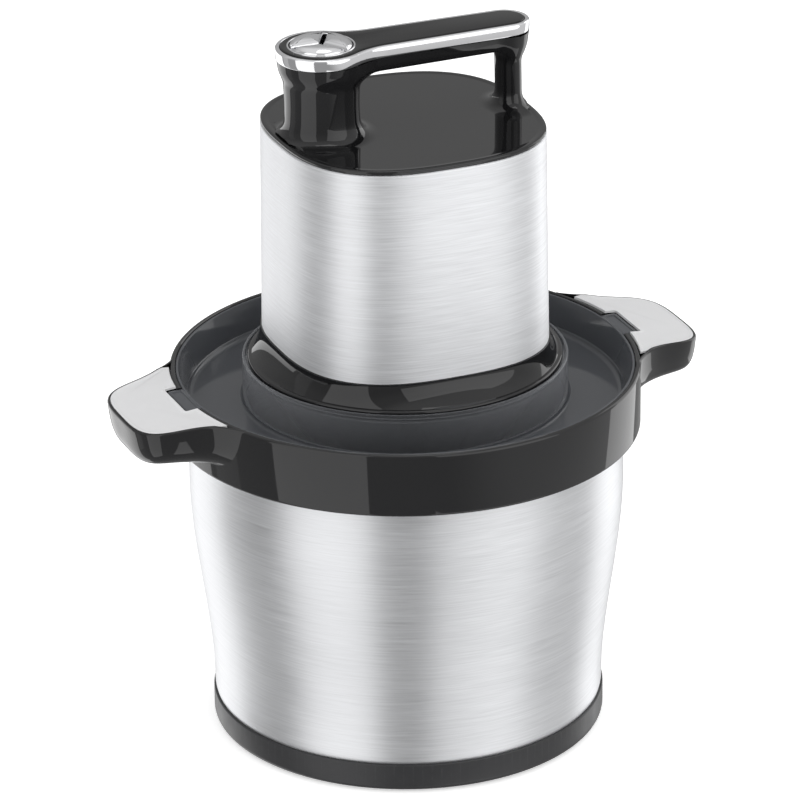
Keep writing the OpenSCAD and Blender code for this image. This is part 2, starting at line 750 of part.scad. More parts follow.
module head_base() color(black) {
    plug_skew = (funnel_r - cup_r) / (seat_z - plug_z);
    plug_top_r = plug_foot_r + plug_skew * plug_depth;
    inner_foot = plug_foot_r - shell_t * 1.2;
    inner_top = plug_top_r - shell_t * 1.2;
    difference() {
        union() {
            rotate_extrude($fn = 128) polygon([
                [well_r, plug_z], [plug_foot_r - 1, plug_z], [plug_foot_r, plug_z + 1.4],
                [plug_top_r, seat_z], [flange_r, seat_z], [flange_r, flange_top_z - 1],
                [flange_r - 1, flange_top_z], [housing_r + 0.5, flange_top_z],
                [housing_r + 0.5, seat_z], [inner_top, seat_z], [inner_foot, plug_z + shell_t],
                [well_r + shell_t, plug_z + shell_t], [well_r + shell_t, housing_z], [well_r, housing_z]
            ]);
            difference() {
                loft(skirt_rings(flange_top_z - 0.5, sleeve_z));
                loft(skirt_hollow());
            }
            corners(tie_xy, tie_xy) translate([0, 0, plug_z + 18])
                cylinder(r = 6.5, h = tie_seat - plug_z - 18, $fn = 48);
            translate([-board_x - 3, -board_w / 2 - 1, flange_top_z - 0.5]) cube([6, board_w + 2, 5]);
        }
        difference() {
            corners(tie_xy, tie_xy) translate([0, 0, plug_z]) cylinder(r = 7, h = plug_depth, $fn = 48);
            rotate_extrude($fn = 128) polygon([
                [0, plug_z - 1], [plug_foot_r, plug_z - 1], [plug_foot_r, plug_z + 1.4], [plug_top_r, seat_z],
                [plug_top_r, seat_z + 1], [0, seat_z + 1]
            ]);
        }
        corners(tie_xy, tie_xy) {
            translate([0, 0, plug_z]) cylinder(r = 4, h = flange_top_z - 2 - plug_z, $fn = 48);
            translate([0, 0, plug_z]) cylinder(r = tie_r + 0.2, h = 80, $fn = 48);
        }
        translate([-board_x - 0.9, -board_w / 2 - near_gap, flange_top_z])
            cube([board_t + 0.2, board_w + 2 * near_gap, 10]);
        corners(lug_xy, lug_xy) translate([0, 0, seat_z - 2]) cylinder(r = lug_screw_r + run_gap, h = 20);
    }
}

// Rings of the hollow inside the skirt
function skirt_hollow() = [
    for (z = [flange_top_z - 2, sleeve_z + 2]) squircle(sleeve_foot_w - shell_t - 1, z)
];

module head_sleeve() color(steel) difference() {
    over = 25;
    loft([squircle(sleeve_foot_w, sleeve_z), squircle(sleeve_top_w, sleeve_top)]);
    loft([
        squircle(sleeve_w(sleeve_z - over) - sleeve_t, sleeve_z - over),
        squircle(sleeve_w(sleeve_top + over) - sleeve_t, sleeve_top + over)
    ]);
    translate([0, 0, gland_z]) rotate([-90, 0, 0]) cylinder(r = 6.2, h = 100, $fn = 64);
}

// Outline of the handle's top plate, drawn inwards by an inset
function handle_outline(inset, arcs = 10) =
    let (
        span = pod_x + tail_x, n = [sin(grip_taper), cos(grip_taper)],
        t = [cos(grip_taper), -sin(grip_taper)], near = tail_r + waist_r, far = pod_r + waist_r,
        a = -span * t[0] + sqrt(pow(span * t[0], 2) - span * span - 2 * near * span * n[0]
            - near * near + far * far),
        pod = [-pod_x, 0], tail = [tail_x, 0], waist = tail + a * t + near * n,
        join = atan2(waist[1], waist[0] - pod[0]),
        upper = concat(
            arc(tail, tail_r - inset, 0, 90 - grip_taper, arcs),
            arc(waist, waist_r + inset, 270 - grip_taper, 180 + join, arcs),
            arc(pod, pod_r - inset, join, 180, 2 * arcs)
        )
    )
    concat(upper, [for (i = [len(upper) - 2:-1:1]) [upper[i][0], -upper[i][1]]]);

// One ring of the handle at a height
function handle_ring(inset, z) = [for (p = handle_outline(inset)) [p[0], p[1], z]];

// Ring of an oval
function oval(x, rx, ry, z) = [for (i = [0:31]) [x + rx * cos(11.25 * i), ry * sin(11.25 * i), z]];

module post_profile(r, foot_flare, top_flare) {
    sink = 0.5;
    rotate_extrude() polygon(concat(
        [[0, deck_z - 1], [r + foot_flare, deck_z - 1]],
        arc([r + foot_flare, deck_z + foot_flare - sink], foot_flare, -90, -180, 8),
        arc([r + top_flare, grip_z - top_flare + sink], top_flare, 180, 90, 8),
        [[r + top_flare, grip_z + 2], [0, grip_z + 2]]
    ));
}

// Hollow rounding in the corner between a post and the underside of the grip
module grip_fillet(x, r, side, w) {
    sink = 0.5;
    translate([x, 0, grip_z - r + sink]) rotate([90, 0, 0]) translate([0, 0, -w]) linear_extrude(2 * w)
        polygon(concat([[0, 0]], [for (i = [0:8]) [side * r * (1 - cos(90 * i / 8)), r * sin(90 * i / 8)]],
            [[side * r, r + 1], [-side * 3, r + 1], [-side * 3, 0]]));
}

module head_cap() color(black) {
    lip = 1.5;
    cap_w = sleeve_top_w - sleeve_t - 0.4;
    tail_post = tail_x + 2.6;
    difference() {
        union() {
            loft([squircle(cap_w, sleeve_top - 6), squircle(cap_w, sleeve_top)]);
            loft([
                squircle(sleeve_top_w - 0.1, sleeve_top), squircle(sleeve_top_w - 0.1, deck_z - 1.2),
                squircle(sleeve_top_w - 0.5, deck_z - 0.4), squircle(sleeve_top_w - lip, deck_z)
            ]);
            translate([-pod_x, 0, 0]) post_profile(post_r, 4.5, 1.6);
            loft([
                oval(tail_post, 10.5, 15, deck_z - 0.5), oval(tail_post, 9.2, 13.2, deck_z + 0.5),
                oval(tail_post, 7.6, 11.4, deck_z + 2.5), oval(tail_post, 6.8, 10.5, deck_z + 6),
                oval(tail_post, 6.5, 10.2, deck_z + 12), oval(tail_post, 6.5, 10, grip_z - 5),
                oval(tail_post, 7.2, 10.4, grip_z + 1)
            ]);
            translate([0, 0, grip_z]) linear_extrude(0.6) polygon(handle_outline(2.6));
            loft([
                handle_ring(2.8, grip_z + 0.3), handle_ring(1, grip_z + 0.9), handle_ring(-0.4, grip_z + 2.4),
                handle_ring(-1.3, grip_z + 5.5), handle_ring(-1.7, trim_z - 0.4)
            ], strips = true);
            translate([0, 0, trim_z - 0.8]) linear_extrude(0.8) polygon(handle_outline(-1.8));
            translate([0, 0, trim_z - 3]) linear_extrude(grip_top - trim_z + 3) polygon(handle_outline(0.1));
            grip_fillet(-pod_x + post_r - 0.5, 14, 1, 8);
            grip_fillet(tail_post - 6.3, 5, -1, 7);
            corners(tie_xy, tie_xy) translate([0, 0, tie_top - 8])
                cylinder(r = 5, h = sleeve_top - tie_top + 8, $fn = 48);
        }
        difference() {
            loft([squircle(cap_w - shell_t, sleeve_top - 7), squircle(cap_w - shell_t, deck_z - 3)]);
            corners(tie_xy, tie_xy) translate([0, 0, tie_top - 8]) cylinder(r = 5, h = 60, $fn = 48);
        }
        translate([0, 0, well_floor + 3]) linear_extrude(20) polygon(handle_outline(4));
        translate([-pod_x, 0, well_floor]) cylinder(r = button_r + 1.4, h = 20);
        translate([-pod_x, 0, deck_z - 10]) cylinder(r = 5, h = 60, $fn = 48);
        corners(tie_xy, tie_xy) translate([0, 0, tie_top - 9]) cylinder(r = tie_r + run_gap, h = 19);
    }
}

module handle_trim() color(chrome) difference() {
    union() {
        translate([0, 0, trim_z]) linear_extrude(trim_top - trim_z - 0.5) polygon(handle_outline(-trim_w));
        translate([0, 0, trim_z]) linear_extrude(trim_top - trim_z) polygon(handle_outline(0.5 - trim_w));
    }
    translate([0, 0, trim_z - 1]) linear_extrude(20) polygon(handle_outline(0));
}

module handle_top() color(black) difference() {
    union() {
        translate([0, 0, grip_top]) linear_extrude(plate_top - grip_top - 0.3) polygon(handle_outline(0.1));
        translate([0, 0, grip_top]) linear_extrude(plate_top - grip_top) polygon(handle_outline(0.5));
    }
    translate([-pod_x, 0, grip_top - 1]) cylinder(r = button_r + near_gap, h = 20);
}

module button_bezel() color(chrome) translate([-pod_x, 0, plate_top]) rotate_extrude() polygon([
    [button_r + 0.25, 0], [button_r + 2.4, 0], [button_r + 2.2, 0.6], [button_r + 1.4, 1.1],
    [button_r + 0.6, 1.1], [button_r + 0.25, 0.7]
]);

module switch_board() color(board_green) translate([-pod_x, 0, well_floor]) difference() {
    cylinder(r = button_r + 0.6, h = board_t);
    translate([0, 0, -1]) cylinder(r = 2, h = board_t + 2, $fn = 32);
}

module tact_switches() color("#4a4a4e") translate([-pod_x, 0, tact_z]) for (a = [0, 120, 240]) rotate(a)
    translate([tact_ring, 0, 0]) {
        translate([-3, -3, 0]) cube([6, 6, tact_h]);
        translate([0, 0, tact_h - 0.1]) cylinder(r = 1.7, h = tact_stem + 0.1, $fn = 32);
    }

// Buttons: three sectors of one domed disc, each held under the top plate by its flange

module button(turn) color(chrome) translate([-pod_x, 0, 0]) rotate(turn) intersection() {
    rim = button_r - 0.1;
    reach = 60;
    apex = [button_gap / 2 / sin(60), 0];
    rotate_extrude() polygon([
        [0, button_under], [rim + 1, button_under], [rim + 1, button_under + button_flange],
        [rim, button_under + button_flange], [rim, button_top - 1.7], [rim - 0.8, button_top - 0.9],
        [rim - 4, button_top - 0.35], [rim - 9, button_top - 0.1], [0, button_top]
    ]);
    translate([0, 0, button_under - 1]) linear_extrude(30)
        polygon([apex, apex + polar(reach, -60), apex + polar(reach, 60)]);
}

module button_right() button(0);

module button_rear() button(120);

module button_front() button(240);

// A coil spring swept by a five-sided wire between the switch board and a button
module button_spring(turn) color(steel) {
    turns = 4;
    per_turn = 12;
    low = tact_z + spring_wire + 0.05;
    high = button_under - spring_wire - 0.05;
    count = turns * per_turn;
    rings = [
        for (i = [0:count])
            let (a = 360 * i / per_turn, z = low + (high - low) * i / count)
            [for (k = [0:4])
                let (b = -72 * k, r = spring_r + spring_wire * cos(b))
                [r * cos(a), r * sin(a), z + spring_wire * sin(b)]]
    ];
    translate([-pod_x, 0, 0]) rotate(turn) translate([tact_ring, 0, 0]) loft(rings);
}

module spring_right() button_spring(0);

module spring_rear() button_spring(120);

module spring_front() button_spring(240);

// Gears

// Involute angle in degrees
function inv(a) = tan(a) * 57.2958 - a;

// Outline of a spur gear with n teeth, a tip and a root radius, thinned by play at the pitch circle
function gear_points(n, tip, root, play) =
    let (
        pitch = gear_m * n / 2, base = pitch * cos(pressure),
        half = 90 / n - play / pitch * 28.648, low = max(base * 1.001, root), steps = 4
    )
    [
        for (i = [0:n - 1])
            let (c = 360 * i / n, flank = [
                for (k = [0:steps])
                    let (r = low + (tip - low) * k / steps)
                    [r, half + inv(pressure) - inv(acos(base / r))]
            ])
            each concat(
                root < low ? [polar(root, c - flank[0][1])] : [],
                [for (f = flank) polar(f[0], c - f[1])],
                [for (k = [steps:-1:0]) polar(flank[k][0], c + flank[k][1])],
                root < low ? [polar(root, c + flank[0][1])] : []
            )
    ];

module gearbox_housing() color(lamination) {
    difference() {
        union() {
            rotate_extrude() polygon([
                [6, housing_z], [housing_r, housing_z], [housing_r, housing_top],
                [ring_r + 0.1, housing_top], [ring_r + 0.1, ring_z], [ring_r - 2, ring_z],
                [ring_r - 2, output_bearing_z], [bearing_r + 2.5, output_bearing_z],
                [bearing_r + 2.5, output_bearing_z + bearing_h], [bearing_r, output_bearing_z + bearing_h],
                [bearing_r, output_bearing_z], [6, output_bearing_z]
            ]);
            intersection() {
                ring(housing_r + 12, housing_r - 0.5, flange_top_z, lug_t);
                corners(lug_xy, lug_xy) translate([0, 0, flange_top_z]) cylinder(r = 7, h = lug_t);
            }
        }
        corners(lug_xy, lug_xy) translate([0, 0, flange_top_z - 1])
            cylinder(r = lug_screw_r + 0.4, h = lug_t + 2);
    }
}

module ring_gear() color("#e4e0d2") translate([0, 0, ring_z]) linear_extrude(ring_h) difference() {
    circle(r = ring_r);
    rotate(180 / ring_n) polygon(gear_points(ring_n, gear_m * ring_n / 2 + dedendum,
        gear_m * ring_n / 2 - addendum, -backlash));
}

module planet_carrier() color(steel) {
    translate([0, 0, carrier_z]) difference() {
        cylinder(r = carrier_r + 6.5, h = carrier_t);
        for (a = [0, 120, 240]) rotate(a) translate([carrier_r, 0, -1])
            cylinder(r = pin_r, h = carrier_t + 2, $fn = 48);
        for (a = [60, 180, 300]) rotate(a) translate([carrier_r, 0, -1])
            cylinder(r = 5, h = carrier_t + 2, $fn = 48);
    }
    translate([0, 0, carrier_z - 1]) cylinder(r = shaft_r + 2, h = 1.1);
    translate([0, 0, drive_top + 0.6]) cylinder(r = shaft_r, h = carrier_z - drive_top - 0.6);
}

module planet_pins() color(chrome) for (a = [0, 120, 240]) rotate(a)
    translate([carrier_r, 0, carrier_z]) cylinder(r = pin_r, h = carrier_t + gear_h + 1, $fn = 48);

module planet(turn) color("#e4e0d2") {
    rotate(turn) translate([carrier_r, 0, planet_z]) linear_extrude(gear_h) difference() {
        rotate(180 / planet_n) polygon(gear_points(planet_n, gear_m * planet_n / 2 + addendum,
            gear_m * planet_n / 2 - dedendum, backlash));
        circle(r = pin_r + run_gap, $fn = 48);
    }
}

module planet_1() planet(0);

module planet_2() planet(120);

module planet_3() planet(240);

module sun_gear() color(steel) translate([0, 0, planet_z]) linear_extrude(gear_h) difference() {
    polygon(gear_points(sun_n, gear_m * sun_n / 2 + addendum, gear_m * sun_n / 2 - dedendum, backlash));
    circle(r = shaft_r);
}

module drive_socket() color(steel) translate([0, 0, socket_z]) difference() {
    union() {
        cylinder(r = socket_r, h = drive_engage + 3);
        translate([0, 0, drive_engage + 3]) cylinder(r1 = socket_r, r2 = 10, h = 2);
        translate([0, 0, drive_engage]) cylinder(r = 10, h = socket_top - socket_z - drive_engage);
    }
    translate([0, 0, -1]) linear_extrude(drive_engage + 1.6) polygon(spline_points(drive_gap));
    translate([0, 0, -0.01]) cylinder(r1 = drive_tip_r + 2, r2 = drive_tip_r - 0.5, h = 2.5);
    translate([0, 0, drive_engage]) cylinder(r = shaft_r, h = 20);
}

// One bearing under the gearbox for the output shaft and one over it for the rotor
module shaft_bearings() color(chrome) for (z = [output_bearing_z, rotor_bearing_z])
    translate([0, 0, z]) bearing(bearing_r, shaft_r + run_gap, bearing_h);

// Motor

module motor_plate() color(lamination) {
    pillar_r = 4.5;
    difference() {
        union() {
            translate([0, 0, housing_top]) linear_extrude(motor_plate_t) difference() {
                square([stator_x, stator_y], center = true);
                corners(stator_x / 2 + 1, stator_y / 2 + 1) rotate(45) square(8, center = true);
            }
            translate([0, 0, housing_top]) cylinder(r = bearing_r + 2.5, h = bearing_seat_top - housing_top);
            corners(bolt_x, bolt_y) translate([0, 0, housing_top])
                cylinder(r = pillar_r, h = stack_z - housing_top, $fn = 48);
        }
        translate([0, 0, housing_top - 1]) cylinder(r = 7, h = 10);
        translate([0, 0, rotor_bearing_z]) cylinder(r = bearing_r, h = 20);
        corners(bolt_x, bolt_y) translate([0, 0, stack_z - 9]) cylinder(r = tie_r + run_gap, h = 10);
        for (a = [0, 90, 180, 270]) rotate(a + 45) translate([25, 0, housing_top - 1])
            cylinder(r = 4, h = motor_plate_t + 2, $fn = 48);
    }
}

module motor_stator() color(lamination) translate([0, 0, stack_z]) linear_extrude(stack_h) difference() {
    shoe_t = 4;
    union() {
        difference() {
            square([stator_x, stator_y], center = true);
            corners(stator_x / 2, stator_y / 2) rotate(45) square(6, center = true);
            square([stator_x - 2 * yoke_x, stator_y - 2 * yoke_y], center = true);
        }
        square([stator_x - 2, pole_w], center = true);
        intersection() {
            circle(r = stator_bore + shoe_t);
            union() for (a = [0, 180]) rotate(a) polygon([[0, 0], polar(60, -58), polar(60, 58)]);
        }
    }
    circle(r = stator_bore);
    corners(bolt_x, bolt_y) circle(r = tie_r + 0.2, $fn = 48);
}

module field_coils() color(copper) for (s = [-1, 1]) difference() {
    inner_x = stator_bore + 4.4;
    outer_x = stator_x / 2 - yoke_x - 0.4;
    core_h = stack_h + 0.8;
    translate([s * (inner_x + outer_x) / 2, 0, stack_z + stack_h / 2])
        cube([outer_x - inner_x, 2 * coil_w, stack_h + 2 * coil_over], center = true);
    translate([s * inner_x, 0, stack_z + stack_h / 2]) cube([30, pole_w + 1, core_h], center = true);
}

module top_bracket() color(black) {
    wide_x = stator_x - 4;
    wide_y = stator_y - 4;
    bridge_x = 27;
    bridge_y = 8;
    leg_t = 6;
    difference() {
        union() {
            translate([-wide_x / 2, -wide_y / 2, bracket_z]) cube([wide_x, wide_y, bracket_t]);
            corners(bolt_x, bolt_y) translate([0, 0, stack_top])
                cylinder(r = 4, h = bracket_z - stack_top + 1, $fn = 48);
            for (s = [-1, 1]) translate([s * (bridge_x - leg_t / 2) - leg_t / 2, -bridge_y, bracket_z + 1])
                cube([leg_t, 2 * bridge_y, bridge_z - bracket_z + 1]);
            translate([-bridge_x, -bridge_y, bridge_z]) cube([2 * bridge_x, 2 * bridge_y, bracket_t]);
            translate([0, 0, bridge_z]) cylinder(r = top_bearing_r + 2.5, h = top_bearing_h);
        }
        translate([0, 0, bracket_z - 1]) cylinder(r = 17, h = bracket_t + 2);
        translate([0, 0, bridge_z + 0.8]) cylinder(r = top_bearing_r, h = 20);
        translate([0, 0, bridge_z - 1]) cylinder(r = 6, h = 20);
        corners(bolt_x, bolt_y) translate([0, 0, stack_top - 1]) cylinder(r = tie_r + 0.2, h = 20, $fn = 48);
    }
}

module top_bearing() color(chrome) translate([0, 0, bridge_z + 0.8])
    bearing(top_bearing_r, top_shaft_r + run_gap, top_bearing_h - 0.8);

module brush_holders() color(brass) for (s = [-1, 1]) difference() {
    translate([0, s * brush_y, brush_z + brush_box_h / 2]) cube([9, 22, brush_box_h], center = true);
    translate([0, s * brush_y, brush_z + brush_box_h / 2]) cube([7, 24, brush_box_h - 2], center = true);
}

module carbon_brushes() color("#2a2a2a") difference() {
    brush_w = 6.8;
    brush_l = 17;
    for (s = [-1, 1]) translate([-brush_w / 2, s * (brush_y - 7.5) - brush_l / 2, brush_z + 1.1])
        cube([brush_w, brush_l, brush_box_h - 2.2]);
    translate([0, 0, brush_z - 1]) cylinder(r = comm_r + run_gap, h = 20);
}

module motor_screws() color(steel) corners(bolt_x, bolt_y) translate([0, 0, brush_z])
    screw(tie_r, 3.6, 2.4, brush_z - stack_z + 8);

module gearbox_screws() color(steel) corners(lug_xy, lug_xy)
    translate([0, 0, flange_top_z + lug_t]) screw(lug_screw_r, 2.8, 1.8, lug_t + flange_h - 1);

module tie_screws() color(steel) corners(tie_xy, tie_xy) translate([0, 0, flange_top_z - 2])
    rotate([180, 0, 0]) screw(tie_r, 3.6, 2.6, tie_top + 8 - flange_top_z + 2);

// The board that switches the motor, with its relay, capacitor and suppressor
module control_board() color(board_green) {
    relay = [9, 18, 20];
    suppressor = [5, 20, 10];
    capacitor_r = 7;
    capacitor_h = 10;
    face = -board_x + board_t / 2 - 0.1;
    translate([-board_x - board_t / 2, -board_w / 2, flange_top_z]) cube([board_t, board_w, board_h]);
    translate([face, 2 - relay[1] - 4, flange_top_z + board_h - relay[2] - 8]) cube(relay);
    translate([face, board_w / 2 - 16, flange_top_z + board_h - 26]) rotate([0, 90, 0])
        cylinder(r = capacitor_r, h = capacitor_h, $fn = 48);
    translate([face, -4, flange_top_z + board_h / 2 - 4]) cube(suppressor);
}

module cord_gland() color(rubber) {
    face = sleeve_w(gland_z);
    translate([0, 0, gland_z]) rotate([-90, 0, 0]) rotate_extrude($fn = 64) polygon([
        [gland_bore, face - 7.3], [8, face - 7.3], [8.5, face - 6.8], [8.5, face - sleeve_t - 0.3],
        [6, face - sleeve_t - 0.3], [6, face + 0.3], [9, face + 0.3], [9, face + 2.5],
        [8, face + 4], [6, face + 4.7], [gland_bore, face + 4.7]
    ]);
}

// Rotor

module rotor_shaft() color(chrome) {
    journal = comm_z + comm_h + 1;
    translate([0, 0, planet_z + 0.4]) cylinder(r = shaft_r, h = journal - planet_z - 0.4);
    translate([0, 0, journal - 0.1]) cylinder(r = top_shaft_r, h = shaft_top - journal);
}

module armature_core() color(lamination) translate([0, 0, stack_z]) linear_extrude(stack_h) difference() {
    circle(r = rotor_r);
    circle(r = shaft_r);
    for (i = [0:slots - 1]) rotate(360 * i / slots) {
        translate([rotor_r - slot_in, 0]) circle(r = slot_r, $fn = 32);
        translate([rotor_r - slot_in, -0.9]) square([slot_in + 3, 1.8]);
    }
}

module armature_windings() color(copper) {
    ring(rotor_r - 3, shaft_r + 2, stack_z - coil_over + 0.6, coil_over - 0.6);
    ring(rotor_r - 3, shaft_r + 2, stack_top, coil_over - 1);
    for (i = [0:slots - 1]) rotate(360 * i / slots) translate([rotor_r - slot_in, 0, stack_z - 1])
        cylinder(r = slot_r - 0.2, h = stack_h + 2, $fn = 32);
}

module commutator() color(copper) translate([0, 0, comm_z]) difference() {
    bars = 24;
    slit = 0.5;
    cylinder(r = comm_r, h = comm_h);
    translate([0, 0, -1]) cylinder(r = shaft_r, h = comm_h + 2);
    for (i = [0:bars - 1]) rotate(360 * (i + 0.5) / bars) translate([comm_r - 1.2, -slit / 2, -1])
        cube([3, slit, comm_h]);
}

module cooling_fan() color("#3a3d42") translate([0, 0, fan_z]) difference() {
    fan_r = 33;
    blades = 11;
    union() {
        cylinder(r = 9, h = fan_h);
        cylinder(r = fan_r, h = 1.6);
        for (i = [0:blades - 1]) rotate(360 * i / blades) translate([12, 0, 1])
            rotate(-18) translate([0, -0.8, 0]) cube([fan_r - 14.5, 1.6, fan_h - 1]);
    }
    translate([0, 0, -1]) cylinder(r = shaft_r, h = fan_h + 2);
}

bowl_shell();
bowl_collar();
ear_plates();
base_ring();
base_pad();
spindle();
spindle_nut();
thrust_washer();
blade_hub();
hub_bushes();
lower_blade();
blade_spacer();
upper_blade();
blade_nut();
lid_wall();
lid_floor();
lid_neck();
lid_seal();
hub_seal();
head_base();
head_sleeve();
head_cap();
handle_trim();
handle_top();
button_bezel();
switch_board();
tact_switches();
motor_stator();
field_coils();
top_bracket();
top_bearing();
brush_holders();
carbon_brushes();
gearbox_housing();
ring_gear();
motor_plate();
shaft_bearings();
control_board();
cord_gland();
tie_screws();
motor_screws();
gearbox_screws();
button_right();
button_rear();
button_front();
spring_right();
spring_rear();
spring_front();
rotor_shaft();
armature_core();
armature_windings();
commutator();
cooling_fan();
sun_gear();
planet_carrier();
planet_pins();
drive_socket();
planet_1();
planet_2();
planet_3();
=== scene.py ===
"""Looks of the electric food chopper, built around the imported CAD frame. Metres, Z up."""

import json
import logging
import math
from dataclasses import dataclass
from enum import Enum
from typing import Callable

import bmesh
import bpy
import numpy as np
from mathutils import Matrix, Vector


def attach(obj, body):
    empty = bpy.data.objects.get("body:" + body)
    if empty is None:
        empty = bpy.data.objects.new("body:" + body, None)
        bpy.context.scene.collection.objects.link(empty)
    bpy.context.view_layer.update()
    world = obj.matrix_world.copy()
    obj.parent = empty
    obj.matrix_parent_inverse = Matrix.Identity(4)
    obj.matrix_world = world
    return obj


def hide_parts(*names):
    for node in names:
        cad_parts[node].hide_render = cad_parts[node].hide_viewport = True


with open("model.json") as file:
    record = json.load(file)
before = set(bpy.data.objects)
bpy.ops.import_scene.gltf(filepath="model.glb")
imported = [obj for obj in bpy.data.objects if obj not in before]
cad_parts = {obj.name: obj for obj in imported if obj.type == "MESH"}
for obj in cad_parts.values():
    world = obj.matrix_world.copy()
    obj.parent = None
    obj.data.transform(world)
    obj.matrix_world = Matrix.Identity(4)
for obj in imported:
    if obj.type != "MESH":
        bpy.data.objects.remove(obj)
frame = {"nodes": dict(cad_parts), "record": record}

LOG = logging.getLogger("chopper")
MM = 0.001
TAU = 2 * math.pi
Point = tuple[float, float, float]
Flat = tuple[float, float]

# Power of the sleeve's rounded square, where 2 is a circle
SQUARENESS = 2.7
# A length in millimetres and an area in square metres that count as nothing
NO_LENGTH = 1e-9
NO_AREA = 1e-13
# Least divisor of a moved corner's step, so that sharp corners don't shoot out
LEAST_MITRE = 0.35
# Share of a side that one rounded corner may take
SIDE_SHARE = 0.49


class Body(Enum):
    """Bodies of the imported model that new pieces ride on."""

    BOWL = "bowl"
    LID = "lid"
    HEAD = "motor_head"
    RIGHT = "right_button"
    REAR = "rear_button"
    FRONT = "front_button"


# Outlines


def arc(cx: float, cy: float, r: float, a0: float, a1: float, n: int) -> list[Flat]:
    """Points of an arc.

    Args:
        cx: centre, first coordinate.
        cy: centre, second coordinate.
        r: radius.
        a0: first angle in degrees.
        a1: last angle in degrees.
        n: number of steps.

    Returns:
        n + 1 points from a0 to a1.
    """
    out = []
    for i in range(n + 1):
        a = math.radians(a0 + (a1 - a0) * i / n)
        out.append((cx + r * math.cos(a), cy + r * math.sin(a)))
    return out


def ease(t: float) -> float:
    """A smooth step from 0 to 1."""
    t = min(max(t, 0.0), 1.0)
    return t * t * (3 - 2 * t)


def grown(loop: list[Flat], distance: float) -> list[Flat]:
    """A closed counterclockwise outline moved outwards along its corners' bisectors.

    Args:
        loop: the outline's points.
        distance: how far each side moves out; inwards where negative.

    Returns:
        The moved outline, with the same number of points.
    """
    p = np.array(loop, float)
    before = p - np.roll(p, 1, 0)
    after = np.roll(p, -1, 0) - p
    n0 = np.stack([before[:, 1], -before[:, 0]], 1)
    n1 = np.stack([after[:, 1], -after[:, 0]], 1)
    n0 /= np.maximum(np.linalg.norm(n0, axis=1, keepdims=True), NO_LENGTH)
    n1 /= np.maximum(np.linalg.norm(n1, axis=1, keepdims=True), NO_LENGTH)
    m = n0 + n1
    m /= np.maximum((m * m).sum(1, keepdims=True) / 2, LEAST_MITRE)
    q = p + m * distance
    return [(float(x), float(y)) for x, y in q]


def rounded_corners(loop: list[Flat], radii: list[float], n: int = 6) -> list[Flat]:
    """A closed outline with each corner rounded.

    Args:
        loop: the corners.
        radii: one radius for each corner, 0 to keep it sharp.
        n: steps in each rounding.

    Returns:
        The rounded outline.
    """
    out: list[Flat] = []
    count = len(loop)
    for i in range(count):
        p = Vector(loop[i])
        a = Vector(loop[i - 1]) - p
        b = Vector(loop[(i + 1) % count]) - p
        r = radii[i]
        if r <= 0:
            out.append(tuple(p))
            continue
        half = a.angle(b) / 2
        reach = min(r / math.tan(half), a.length * SIDE_SHARE, b.length * SIDE_SHARE)
        r = reach * math.tan(half)
        c = p + (a.normalized() + b.normalized()).normalized() * (r / math.sin(half))
        s, e = p + a.normalized() * reach - c, p + b.normalized() * reach - c
        turn = math.atan2(s.x * e.y - s.y * e.x, s.dot(e))
        for k in range(n + 1):
            t = turn * k / n
            x = c.x + s.x * math.cos(t) - s.y * math.sin(t)
            out.append((x, c.y + s.x * math.sin(t) + s.y * math.cos(t)))
    return out


def squircle(w: float, n: int) -> list[Flat]:
    """A rounded square in plan, evenly stepped in angle.

    Args:
        w: half width.
        n: number of points.

    Returns:
        The outline, counterclockwise from +X.
    """
    out = []
    for i in range(n):
        a = TAU * i / n
        c, s = abs(math.cos(a)), abs(math.sin(a))
        r = w / (c**SQUARENESS + s**SQUARENESS) ** (1 / SQUARENESS)
        out.append((r * math.cos(a), r * math.sin(a)))
    return out


def circle(r: float, n: int) -> list[Flat]:
    """A circle of n points about the axis, counterclockwise from +X."""
    return [(r * math.cos(TAU * i / n), r * math.sin(TAU * i / n)) for i in range(n)]


def lifted(loop: list[Flat], z: float) -> list[Point]:
    """An outline laid level at a height."""
    return [(x, y, z) for x, y in loop]


# Mesh work


